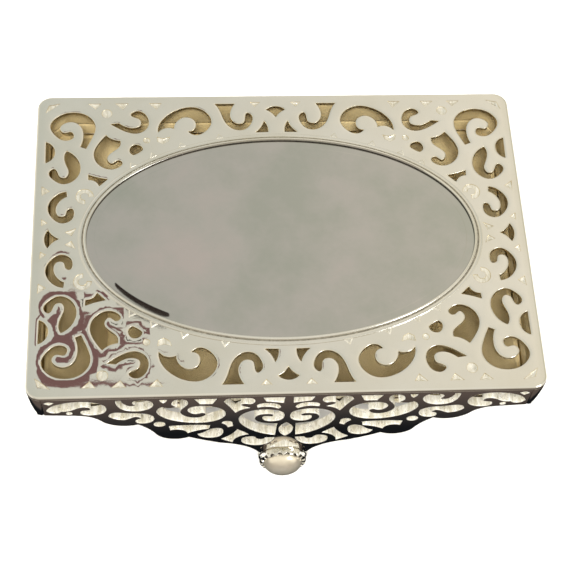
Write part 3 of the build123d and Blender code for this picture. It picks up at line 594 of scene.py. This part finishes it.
def build_lid_top():
    thickness = lid_top - lid_under
    face = sorted(face_loops("lid_plate", 2, lid_top), key=lambda loop: -abs(signed_area(loop)))
    pits = [middle_of(loop) for loop in face_loops("lid_plate", 2, lid_top - PIT_DEPTH)
            if signed_area(loop) > 0]
    marks, openings = [], []
    for loop in face[2:]:
        is_pit = any((middle_of(loop) - pit).length < 0.3 * MM for pit in pits)
        if is_pit:
            marks.append(spaced(loop, 0.04 * MM))
        else:
            openings.append(even(finer(spaced(loop, 0.04 * MM), CORNER), 0.26 * MM, 0.5 * MM))
    edges = tree_of([point for loop in openings for point in inset(loop, OPENING_EDGE)])
    half_x = (lid_high.x - lid_low.x) / 2 - LID_CORNER
    half_y = (lid_high.y - lid_low.y) / 2 - LID_CORNER

    def sink(point):
        """Depth of the face under its highest level, by its distance from the openings and the outside."""
        away = Vector((abs(point.x - lid_centre.x) - half_x, abs(point.y - lid_centre.y) - half_y))
        out = Vector((max(away.x, 0), max(away.y, 0))).length + min(max(away.x, away.y), 0)
        from_border = max(0.0, LID_CORNER - LID_EDGE - out)
        from_opening = edges.find((point.x, point.y, 0))[2]
        return (shoulder(from_border, BORDER, BORDER_DROP)
                + shoulder(from_opening, SHOULDER, SHOULDER_DROP))

    plate = Plate(lambda x, y, depth: Vector((x, y, lid_top - depth)), thickness, sink)
    outside = inset(even(face[0], 0.3 * MM, 1.0 * MM), -LID_EDGE)
    plate.border(outside, opening_profile(LID_EDGE, thickness, 6, math.atan(2 * BORDER_DROP / BORDER)))
    plate.border(even(face[1], 0.8 * MM, 2 * MM), [(0, 0), (0, thickness)])
    for loop in openings:
        slope = math.atan(2 * SHOULDER_DROP / SHOULDER)
        plate.border(loop, opening_profile(OPENING_EDGE, thickness, 3, slope))
    for loop in marks:
        plate.point_down(plate.border(loop, [(PIT_LIP, 0), (0, PIT_LIP)], through=False), PIT_DEPTH)
    plate.net(0.5 * MM, 0.25 * MM, 5)
    piece = add_piece("lid_top", plate.mesh("lid_top"), "lid", ["lid_plate"])
    paint(piece, top_silver, edge_gold, struck_pits)
    border = Vector((2 * LID_EDGE, 2 * LID_EDGE, 0))
    mark_walls(piece, 2, lid_low + border, lid_high - border)
    for index in plate.pits:
        piece.data.polygons[index].material_index = 2


def build_apron():
    front, back = apron_low.y, apron_high.y
    loops = sorted(face_loops("front_apron", 1, front), key=lambda loop: -abs(signed_area(loop)))
    plate = Plate(lambda x, z, depth: Vector((x, front + depth, z)), back - front)
    for loop in loops:
        loop = even(finer(spaced(loop, 0.04 * MM), CORNER), 0.26 * MM, 4 * MM)
        plate.border(loop, opening_profile(0.3 * MM, back - front, 3))
    plate.fill(plate.front)
    return add_piece("apron_casting", plate.mesh("apron_casting"), "lid", ["front_apron"])


def mark_walls(piece, axis, low, high):
    """Give a plate's opening walls, between two corners, the piece's second material."""
    for polygon in piece.data.polygons:
        middle = polygon.center
        inside = all(low[i] < middle[i] < high[i] for i in range(3) if i != axis)
        if inside and abs(polygon.normal[axis]) < 0.8:
            polygon.material_index = 1


# ---------------------------------------------------------------- mirror and bezel
GLASS_COVER = 0.6 * MM
OPENING_X = (glass_high.x - glass_low.x) / 2 - GLASS_COVER
OPENING_Y = (glass_high.y - glass_low.y) / 2 - GLASS_COVER
SPUR_ANGLES = (43, 51, 61, 73)

# Across the bezel from the glass outwards: distance outside the opening and height above the lid, in mm
BEZEL_PROFILE = [
    (0.0, -0.5), (0.02, 0.3), (0.08, 0.62), (0.22, 0.8), (0.45, 0.79), (0.7, 0.72),
    (0.9, 0.52), (1.0, 0.26), (1.04, 0.07), (1.28, 0.04), (1.34, 0.2), (1.46, 0.34),
    (1.6, 0.3), (2.0, 0.24), (2.2, 0.3), (2.35, 0.34), (2.5, 0.27), (2.58, 0.12),
    (2.6, 0.0), (1.5, 0.0), (1.5, -3.16), (0.7, -3.16), (0.7, -0.5),
]
# Band 0, the wall beside the glass, is painted near black: painted shade of the gap between glass and
# bezel, which the glass also mirrors as a dark line.
WALL_BANDS = (0,)  # the wall beside the glass
GROOVE_BANDS = (7, 8, 9)  # the bottom of the groove


def build_bezel():
    count = 240
    rings = [oval(out * MM, lid_top + up * MM, count) for out, up in BEZEL_PROFILE]
    mesh = skin("bezel_ring", rings, joined=True, crease=50)
    piece = add_piece("bezel_ring", mesh, "lid", ["mirror_bezel"])
    paint(piece, bezel_silver, tarnish, groove_tarnish)
    for polygon in piece.data.polygons:
        band = polygon.index // count
        # The wall beside the glass gets the near-black metal: painted shade of the gap by the glass.
        if band in WALL_BANDS:
            polygon.material_index = 1
        elif band in GROOVE_BANDS:
            polygon.material_index = 2


def build_spurs():
    """Small flat-topped points with bevelled edges, which stand out round the bezel."""
    work = bmesh.new()
    half_x = OPENING_X + 2.4 * MM
    half_y = OPENING_Y + 2.4 * MM
    angles = [way * a for a in SPUR_ANGLES for way in (1, -1)]
    angles += [180 - a for a in angles]
    for angle in angles:
        along, across = math.cos(math.radians(angle)), math.sin(math.radians(angle))
        foot = lid_centre.to_2d() + Vector((half_x * along, half_y * across))
        out = Vector((half_y * along, half_x * across)).normalized()
        side = Vector((-out.y, out.x)) * 1.5 * MM
        corners = [foot - side, foot + side, foot + out * 2.2 * MM]
        middle = middle_of(corners)
        low = [work.verts.new((c.x, c.y, lid_top - 0.02 * MM)) for c in corners]
        high = []
        for corner in corners:
            top = corner.lerp(middle, 0.45)
            high.append(work.verts.new((top.x, top.y, lid_top + 0.33 * MM)))
        work.faces.new(high)
        work.faces.new(low[::-1])
        for i in range(3):
            j = (i + 1) % 3
            work.faces.new((low[i], low[j], high[j], high[i]))
    bmesh.ops.recalc_face_normals(work, faces=work.faces)
    mesh = bpy.data.meshes.new("bezel_spurs")
    work.to_mesh(mesh)
    work.free()
    piece = add_piece("bezel_spurs", mesh, "lid")
    paint(piece, bezel_silver, struck_pits)
    for polygon in mesh.polygons:
        if abs(polygon.normal.z) < 0.99:
            polygon.material_index = 1


def build_mirror():
    """Oval plate of glass with a wide bevel and a fine step where the bevel starts."""
    cover = GLASS_COVER
    bevel_foot = glass_high.z - 0.05 * MM
    rings = [
        oval(cover, glass_low.z),
        oval(cover, bevel_foot),
        oval(cover - 2.9 * MM, glass_high.z - 0.03 * MM),
        oval(cover - 3.05 * MM, glass_high.z),
    ]
    return add_piece("mirror_plate", skin("mirror_plate", rings, crease=4), "lid",
                     ["mirror_glass"])


# ---------------------------------------------------------------- knob
NOTCHES = 18


def round_ring(radius, depth, count=224, height=None):
    """Ring about the knob's axis, at a distance in front of the apron."""
    middle_x = (cup_low.x + cup_high.x) / 2
    middle_z = (cup_low.z + cup_high.z) / 2
    ring = []
    for i in range(count):
        angle = math.tau * i / count
        out = depth if height is None else depth - height(i / count)
        ring.append(Vector((
            middle_x + radius * math.cos(angle), apron_low.y - out, middle_z + radius * math.sin(angle),
        )))
    return ring


def notch(turn):
    """Depth of the serrations at a share of a turn."""
    wave = math.cos(math.tau * NOTCHES * turn)
    return 0.75 * MM * max(0.0, wave + 0.15) ** 0.5


def build_cup():
    outer = (cup_high.x - cup_low.x) / 2
    depth = cup_high.y - cup_low.y
    inner = (pearl_high.x - pearl_low.x) / 2 + 0.1 * MM
    rings = [
        round_ring(1.35 * MM, 0),
        round_ring(outer - 0.3 * MM, 0),
        round_ring(outer, 0.3 * MM),
        round_ring(outer, depth - 0.95 * MM),
        round_ring(outer - 0.12 * MM, depth - 0.45 * MM, height=lambda t: notch(t) * 0.5),
        round_ring(outer - 0.45 * MM, depth - 0.05 * MM, height=notch),
        round_ring(outer - 0.8 * MM, depth, height=notch),
        round_ring(inner, depth - 0.1 * MM, height=notch),
        round_ring(inner, 0.8 * MM),
        round_ring(1.35 * MM, 0.8 * MM),
    ]
    piece = add_piece("serrated_cup", skin("serrated_cup", rings, joined=True), "lid",
                      ["knob_cup"])
    paint(piece, bezel_silver, tarnish)
    count = len(rings[0])
    for polygon in piece.data.polygons:
        band, turn = divmod(polygon.index, count)
        # The deepest parts of the serrations get the near-black metal, so they are painted darker than the
        # rest of the cup.
        if band in (4, 5, 6, 7) and notch((turn + 0.5) / count) > 0.4 * MM:
            polygon.material_index = 1


def build_pearl():
    radius = (pearl_high.x - pearl_low.x) / 2
    seat = apron_low.y - pearl_high.y
    apex = apron_low.y - pearl_low.y
    shoulder_out = seat + 1.2 * MM
    count, steps = 96, 22
    hollow = 2.7 * MM
    rings = [
        round_ring(hollow, seat + 0.6 * MM, count),
        round_ring(hollow, seat, count),
        round_ring(radius, seat, count),
    ]
    for i in range(steps):
        angle = math.pi / 2 * i / steps
        out = shoulder_out + (apex - shoulder_out) * math.sin(angle)
        rings.append(round_ring(radius * math.cos(angle), out, count))
    rings.append(round_ring(0.05 * MM, apex, count))
    return add_piece("pearl", skin("pearl", rings), "lid", ["knob_pearl"])


# ---------------------------------------------------------------- velvet and felt
RIM_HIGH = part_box("top_rim")[1]
BASE_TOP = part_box("base_plate")[1].z
LINER_LOW, LINER_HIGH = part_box("front_liner")
WALL_TOP_INSET = 1.0 * MM
WALL_BOTTOM_INSET = 19.4 * MM
LINER_OUTSIDE = 1.95 * MM
LINER_THICKNESS = 1.5 * MM
LINER_CORNER = 8.0 * MM
WALL_CORNER = 5.0 * MM
CORNER_STEPS = 12
# Points of rounded_rectangle that each side's liner starts and ends at, between the corners' middles
SIDES = {"back": 0, "left": 1, "front": 2, "right": 3}


def casket_ring(height, inward, corner):
    """Level outline inside the casket's sloping walls."""
    slope = (WALL_BOTTOM_INSET - WALL_TOP_INSET) / (LINER_HIGH.z - BASE_TOP)
    inset_here = WALL_TOP_INSET + (LINER_HIGH.z - height) * slope + inward
    ring = rounded_rectangle(RIM_HIGH.x - inset_here, RIM_HIGH.y - inset_here, corner, CORNER_STEPS)
    return [Vector((point.x, point.y, height)) for point in ring]


def with_middles(ring, splits):
    """A run of points with its longest step cut into equal pieces."""
    longest = max(range(len(ring) - 1), key=lambda i: (ring[i + 1] - ring[i]).length)
    start, end = ring[longest], ring[longest + 1]
    added = [start.lerp(end, i / splits) for i in range(1, splits)]
    return ring[:longest + 1] + added + ring[longest + 1:]


def side_run(height, inward, corner, side, splits):
    ring = casket_ring(height, inward, corner)
    per_side = CORNER_STEPS + 1
    start = SIDES[side] * per_side
    run = [ring[(start + i) % len(ring)] for i in range(per_side + 1)]
    return with_middles(run, splits)


def build_liner(side):
    """Velvet over card: a panel with a rolled upper edge and a slightly filled face."""
    low, high = LINER_LOW.z, LINER_HIGH.z
    inside = LINER_OUTSIDE + LINER_THICKNESS
    splits = 28
    roll = 0.7 * MM
    levels = 12
    runs = [side_run(low, LINER_OUTSIDE, WALL_CORNER, side, splits),
            side_run(high - roll, LINER_OUTSIDE, WALL_CORNER, side, splits),
            side_run(high - 0.2 * MM, LINER_OUTSIDE + 0.25 * MM, WALL_CORNER, side, splits),
            side_run(high, LINER_OUTSIDE + 0.6 * MM, WALL_CORNER, side, splits)]
    for i in range(levels + 1):
        share = 1 - i / levels
        height = low + (high - 0.25 * MM - low) * share
        filled = inside + 0.25 * MM * math.sin(math.pi * share)
        runs.append(side_run(height, filled, LINER_CORNER, side, splits))
    rings = list(zip(*runs))
    name = f"{side}_velvet"
    mesh = skin(name, [list(ring) for ring in rings], crease=50)
    return add_piece(name, mesh, "box", [f"{side}_liner"])


def build_lid_lining():
    """Velvet band inside the lid's skirt, open at the front."""
    low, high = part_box("lid_lining")
    centre = (low + high) / 2
    half_x = (high.x - low.x) / 2
    half_y = (lid_high.y - lid_low.y) / 2 - (lid_high.y - high.y)
    outer = rounded_rectangle(half_x, half_y, 2.9 * MM, CORNER_STEPS)
    inner = rounded_rectangle(half_x - 1.0 * MM, half_y - 1.0 * MM, LINER_CORNER, CORNER_STEPS)
    # from the middle of the right front corner, back and round to the left front one
    start = 3 * (CORNER_STEPS + 1) + CORNER_STEPS // 2 + 1

    def run(ring):
        count = len(ring)
        picked = [ring[(start + i) % count] for i in range(2 * (CORNER_STEPS + 1) + 2)]
        points = [Vector((picked[0].x, low.y - lid_centre.y))]
        points += picked[1:-1]
        points.append(Vector((picked[-1].x, low.y - lid_centre.y)))
        return points

    outer_run, inner_run = run(outer), run(inner)
    sections = []
    for out, inn in zip(outer_run, inner_run):
        mean = out.lerp(inn, 0.5)
        profile = [(out, high.z), (out, low.z + 0.3 * MM), (out.lerp(inn, 0.3), low.z), (mean, low.z),
                   (out.lerp(inn, 0.8), low.z + 0.1 * MM), (inn, low.z + 0.45 * MM), (inn, high.z)]
        sections.append([Vector((p.x + lid_centre.x, p.y + lid_centre.y, z)) for p, z in profile])
    mesh = skin("lid_velvet", sections, crease=50)
    return add_piece("lid_velvet", mesh, "lid", ["lid_lining"])


def build_rim_lining():
    """Velvet band inside the casket's rim, up to just under the lid."""
    low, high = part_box("rim_lining")
    rings = []
    for inward, height, corner in (
        (0.0, low.z, 2.7), (0.0, high.z - 0.3 * MM, 2.7), (0.2, high.z, 3.5), (0.5, high.z, 6.0),
        (0.8, high.z - 0.35 * MM, 8.0), (0.8, low.z, 8.0),
    ):
        flat = rounded_rectangle(high.x - inward * MM, high.y - inward * MM, corner * MM, CORNER_STEPS)
        rings.append([Vector((point.x, point.y, height)) for point in flat])
    mesh = skin("rim_velvet", rings, joined=True, crease=50)
    return add_piece("rim_velvet", mesh, "box", ["rim_lining"])


# Up the cushion's side: share of the side's height, and how far it is pulled in, in mm
CUSHION_SIDE = [(0.0, 0.6), (0.08, 0.15), (0.3, 0.0), (0.55, 0.05), (0.78, 0.3), (0.9, 0.75), (0.97, 1.5)]
CUSHION_SIDE_HEIGHT = 0.92  # share of the thickness
CUSHION_CROWN = 0.107
CROWN_STEPS = 14


def build_cushion():
    """Velvet floor pad: crowned, with pulled-in sides and a soft roll at its edge."""
    inside = LINER_OUTSIDE + LINER_THICKNESS + 0.35 * MM
    thickness = pad_high.z - pad_low.z
    work_rings = []
    for share, inward in CUSHION_SIDE:
        height = pad_low.z + thickness * share * CUSHION_SIDE_HEIGHT
        work_rings.append(casket_ring(height, inside + inward * MM, LINER_CORNER))
    edge = work_rings[-1]
    centre = Vector((0, 0, 0))
    for i in range(1, CROWN_STEPS):
        share = i / CROWN_STEPS
        rise = CUSHION_CROWN * math.sin(math.pi / 2 * share) ** 0.8
        height = pad_low.z + thickness * (1 - CUSHION_CROWN + rise)
        ring = []
        for point in edge:
            flat = point.lerp(centre, share * 0.995)
            ring.append(Vector((flat.x, flat.y, height)))
        work_rings.append(ring)
    mesh = skin("floor_cushion", work_rings, crease=60)
    piece = add_piece("floor_cushion", mesh, "box", ["floor_pad"])
    return piece


def build_felt():
    half_x = (felt_high.x - felt_low.x) / 2
    half_y = (felt_high.y - felt_low.y) / 2
    rings = []
    for inward, height in ((0.25, 0.0), (0.0, 0.2), (0.0, 0.6), (0.2, 0.8)):
        flat = rounded_rectangle(half_x - inward * MM, half_y - inward * MM, WALL_CORNER, CORNER_STEPS)
        rings.append([Vector((p.x, p.y, felt_low.z + height * MM)) for p in flat])
    piece = add_piece("felt_sheet", skin("felt_sheet", rings), "box", ["base_felt"])
    return piece


# ---------------------------------------------------------------- build and finish
def paint(piece, *materials):
    piece.data.materials.clear()
    for material in materials:
        piece.data.materials.append(material)


build_lid_top()
apron = build_apron()
paint(apron, top_silver, edge_silver)
mark_walls(apron, 1, Vector((apron_low.x + MM, 0, apron_low.z)), apron_high - Vector((MM, 0, MM)))
build_bezel()
build_spurs()
paint(build_mirror(), glass_silvering)
build_cup()
paint(build_pearl(), pearl)
for side in SIDES:
    liner = build_liner(side)
    paint(liner, tan_velvet)
for band in (build_lid_lining(), build_rim_lining()):
    paint(band, tan_velvet)
paint(build_cushion(), tan_velvet)
paint(build_felt(), brown_felt)

# CAD node: piece that stands for it, width of its rounded edges in mm, body, slot and material
ROUNDED = {
    "lid_skirt": ("skirt", 0.35, "lid", "silver_plate", top_silver),
    "top_rim": ("rim", 0.5, "box", "silver_plate", cast_silver),
    "base_plate": ("base", 0.15, "box", "silver_plate", top_silver),
    "front_wall": ("front_side", 0.2, "box", "silver_plate", cast_silver),
    "back_wall": ("back_side", 0.2, "box", "silver_plate", cast_silver),
    "left_wall": ("left_side", 0.2, "box", "silver_plate", cast_silver),
    "right_wall": ("right_side", 0.2, "box", "silver_plate", cast_silver),
    "corner_lugs": ("lugs", 0.15, "box", "silver_plate", cast_silver),
    "base_screws": ("screws", 0.06, "box", "fastener_steel", plain_steel),
    "mirror_clips": ("clips", 0.1, "lid", "fastener_steel", plain_steel),
    "mirror_backing": ("backing", 0.1, "lid", "fibreboard", board),
    "floor_board": ("board", 0.15, "box", "fibreboard", board),
    "knob_stud": ("stud", 0.08, "lid", "fastener_steel", plain_steel),
    "knob_washer": ("washer", 0.06, "lid", "fastener_steel", plain_steel),
    "knob_nut": ("nut", 0.15, "lid", "fastener_steel", plain_steel),
    "hinge_box_leaf_left": ("box_leaf_left", 0.1, "box", "hinge_metal", hinge_metal),
    "hinge_box_leaf_right": ("box_leaf_right", 0.1, "box", "hinge_metal", hinge_metal),
    "hinge_lid_leaf_left": ("lid_leaf_left", 0.1, "lid", "hinge_metal", hinge_metal),
    "hinge_lid_leaf_right": ("lid_leaf_right", 0.1, "lid", "hinge_metal", hinge_metal),
    "hinge_pin_left": ("pin_left", 0.1, "box", "hinge_metal", hinge_metal),
    "hinge_pin_right": ("pin_right", 0.1, "box", "hinge_metal", hinge_metal),
    "hinge_box_rivets": ("box_rivets", 0.15, "box", "hinge_metal", hinge_metal),
    "hinge_lid_rivets": ("lid_rivets", 0.15, "lid", "hinge_metal", hinge_metal),
}
for node, (name, width, body, slot, material) in ROUNDED.items():
    paint(softened(node, width * MM, name, body), material)

# ---------------------------------------------------------------- floor, light and camera
CAMERA_HEADING = 7.96  # degrees to the right of straight ahead
CAMERA_ELEVATION = 61.47
CAMERA_ROLL = 5.98
CAMERA_DISTANCE = 0.4206
CAMERA_AIM = Vector((1.6 * MM, -19.1 * MM, 0))  # from the middle of the lid's top face
LENS = 86.9
KEY_DISTANCE = 1.2  # the key light's, along the camera's line of sight


def card(name, corners, axis, *stops):
    """Flat card that shows only in reflections, with colours at places along an axis."""
    mesh = bpy.data.meshes.new(name)
    mesh.from_pydata([Vector(corner) for corner in corners], [], [tuple(range(len(corners)))])
    piece = bpy.data.objects.new(name, mesh)
    bpy.context.scene.collection.objects.link(piece)
    finish = Finish(name)
    glow = finish.nodes.new("ShaderNodeEmission")
    if len(stops) == 1:
        glow.inputs["Color"].default_value = (*stops[0][1], 1)
    else:
        parts = finish.nodes.new("ShaderNodeSeparateXYZ")
        finish.links.new(finish.place.outputs["Object"], parts.inputs["Vector"])
        share = finish.nodes.new("ShaderNodeMapRange")
        share.inputs["From Min"].default_value = stops[0][0]
        share.inputs["From Max"].default_value = stops[-1][0]
        finish.links.new(parts.outputs["XYZ".index(axis)], share.inputs["Value"])
        length = stops[-1][0] - stops[0][0]
        shares = [((place - stops[0][0]) / length, colour) for place, colour in stops]
        finish.links.new(finish.ramp(share.outputs["Result"], *shares), glow.inputs["Color"])
    finish.links.new(glow.outputs["Emission"], finish.nodes["Material Output"].inputs["Surface"])
    finish.nodes.remove(finish.shader)
    mesh.materials.append(finish.material)
    piece.visible_camera = False
    piece.visible_diffuse = False
    piece.visible_shadow = False
    piece.visible_transmission = False


def round_card(name, centre, half_length, half_width, turn, colour, count=48):
    """Level oval card, turned by degrees about its middle."""
    spin = Matrix.Rotation(math.radians(turn), 3, "Z")
    angles = [math.tau * i / count for i in range(count)]
    rim = [Vector((half_length * math.cos(a), half_width * math.sin(a), 0)) for a in angles]
    card(name, [Vector(centre) + spin @ point for point in rim], "X", (0, colour))


def build_floor():
    mesh = bpy.data.meshes.new("floor")
    size = 3.0
    corners = [(-size, -size, 0), (size, -size, 0), (size, size, 0), (-size, size, 0)]
    mesh.from_pydata(corners, [], [(0, 1, 2, 3)])
    floor = bpy.data.objects.new("floor", mesh)
    bpy.context.scene.collection.objects.link(floor)
    finish = Finish("pale_floor", Roughness=0.6, Specular_IOR_Level=0.2)
    shade = finish.ramp(finish.noise(14, 3, 0.5), (0.3, (0.86, 0.86, 0.85)), (0.7, (0.89, 0.89, 0.885)))
    finish.use("Base Color", shade)
    paint(floor, finish.material)


def build_camera():
    heading = math.radians(CAMERA_HEADING)
    rise = math.radians(CAMERA_ELEVATION)
    level = math.cos(rise)
    forward = Vector((math.sin(heading) * level, math.cos(heading) * level, -math.sin(rise)))
    aim = Vector((lid_centre.x, lid_centre.y, lid_top)) + CAMERA_AIM
    camera = bpy.data.objects.new("camera", bpy.data.cameras.new("camera"))
    bpy.context.scene.collection.objects.link(camera)
    turn = forward.to_track_quat("-Z", "Y").to_matrix() @ Matrix.Rotation(math.radians(CAMERA_ROLL), 3, "Z")
    camera.matrix_world = Matrix.Translation(aim - forward * CAMERA_DISTANCE) @ turn.to_4x4()
    camera.data.lens = LENS
    camera.data.clip_start = 0.01
    camera.data.clip_end = 20
    bpy.context.scene.camera = camera
    return aim, forward


def build_world():
    world = bpy.data.worlds.new("world")
    bpy.context.scene.world = world
    world.use_nodes = True
    back = world.node_tree.nodes["Background"]
    back.inputs["Color"].default_value = (1.0, 1.0, 1.0, 1)
    back.inputs["Strength"].default_value = 1.0


def area_light(name, place, aim, size, power, colour):
    light = bpy.data.lights.new(name, "AREA")
    light.size = size
    light.energy = power
    light.color = colour
    lamp = bpy.data.objects.new(name, light)
    bpy.context.scene.collection.objects.link(lamp)
    direction = Vector(aim) - Vector(place)
    turn = direction.to_track_quat("-Z", "Y").to_matrix()
    lamp.matrix_world = Matrix.Translation(Vector(place)) @ turn.to_4x4()
    lamp.visible_glossy = False


build_floor()
aim, forward = build_camera()
build_world()
area_light("key", aim - forward * KEY_DISTANCE, aim, 0.25, 17.0, (1, 0.98, 0.93))

# The room that the silver mirrors, in metres
ROOM_RIGHT = 1.5
ROOM_LEFT = -1.3
ROOM_BACK = 1.8
ROOM_SPLIT = -0.1  # where the ceiling's two parts meet
CEILING = 0.85
WALL_DISTANCE = 1.9
WALL_HEIGHT = 1.1
GROUND = 0.001
CLOTH_HEIGHT = 0.43
CLOTH_COLOUR = (0.19, 0.105, 0.10)
BROWN = (0.05, 0.037, 0.032)


def level_card(name, low, high, height, axis, *stops):
    """Level rectangular card between two corners."""
    corners = [(*low, height), (high[0], low[1], height), (*high, height), (low[0], high[1], height)]
    card(name, corners, axis, *stops)


# The lid's top face and the mirror reflect the ceiling, cooler on the left and warmer on the right.
level_card("ceiling", (ROOM_LEFT, ROOM_SPLIT), (ROOM_RIGHT, ROOM_BACK), CEILING, "X",
           (-1.3, (1.0, 0.97, 0.86)), (-0.6, (0.61, 0.61, 0.54)), (-0.24, (0.60, 0.61, 0.55)),
           (0.05, (0.71, 0.69, 0.61)), (0.32, (0.86, 0.81, 0.69)), (0.7, (0.72, 0.68, 0.55)),
           (1.5, (0.42, 0.39, 0.30)))
# Faces that lean to the front see a plain cream wall over the camera.
level_card("front_ceiling", (ROOM_LEFT, -ROOM_BACK), (ROOM_RIGHT, ROOM_SPLIT), CEILING, "X",
           (-0.6, (0.74, 0.71, 0.62)), (0.6, (0.86, 0.83, 0.73)))
# Walls of a room, from its right round by the back: cream, with a shaded back and a darker front.
SURROUND = [(0.86, 0.82, 0.70), (0.62, 0.58, 0.46), (0.62, 0.58, 0.46), (0.86, 0.82, 0.70),
            (0.90, 0.87, 0.76), (0.45, 0.40, 0.33), (0.45, 0.40, 0.33), (0.95, 0.91, 0.80)]
for turn, colour in enumerate(SURROUND):
    a, b = (math.tau * (turn + step) / len(SURROUND) for step in (0, 1))
    foot_a, foot_b = ((WALL_DISTANCE * math.cos(t), WALL_DISTANCE * math.sin(t)) for t in (a, b))
    corners = [(*foot_a, GROUND), (*foot_b, GROUND), (*foot_b, WALL_HEIGHT), (*foot_a, WALL_HEIGHT)]
    card(f"surround_{turn}", corners, "X", (0, colour))
# A dark red cloth hangs over the left front quarter, out of sight: its body, a fold and a trailing hem.
round_card("cloth_body", (-0.105, 0.147, CLOTH_HEIGHT), 0.018, 0.035, 0, CLOTH_COLOUR)
round_card("cloth_fold", (-0.080, 0.148, CLOTH_HEIGHT), 0.023, 0.010, -8, CLOTH_COLOUR)
round_card("cloth_hem", (-0.084, 0.116, CLOTH_HEIGHT), 0.038, 0.0045, 0, CLOTH_COLOUR)
# The mirror catches the edge of something brown, and a small bright window lights up the pearl.
round_card("brown_edge", (-0.062, 0.169, CLOTH_HEIGHT + MM), 0.021, 0.0042, -36, BROWN)
card("window", [(0.28, -0.40, 0.48), (0.46, -0.40, 0.38), (0.46, -0.22, 0.38), (0.28, -0.22, 0.48)], "X",
     (0, (7.0, 7.2, 7.6)))
# The apron mirrors a ground card that shows only in reflections: a dark taupe ground further out, and black
# close to the box, a painted shadow of the box on that ground.
level_card("ground_with_box_shadow", (-0.6, -1.85), (0.6, -0.05), GROUND, "Y",
           (-0.30, (0.16, 0.13, 0.11)), (-0.080, (0.11, 0.085, 0.075)), (-0.0725, (0.035, 0.032, 0.032)),
           (-0.068, (0.009, 0.010, 0.012)))
bpy.context.scene.view_settings.view_transform = "Standard"
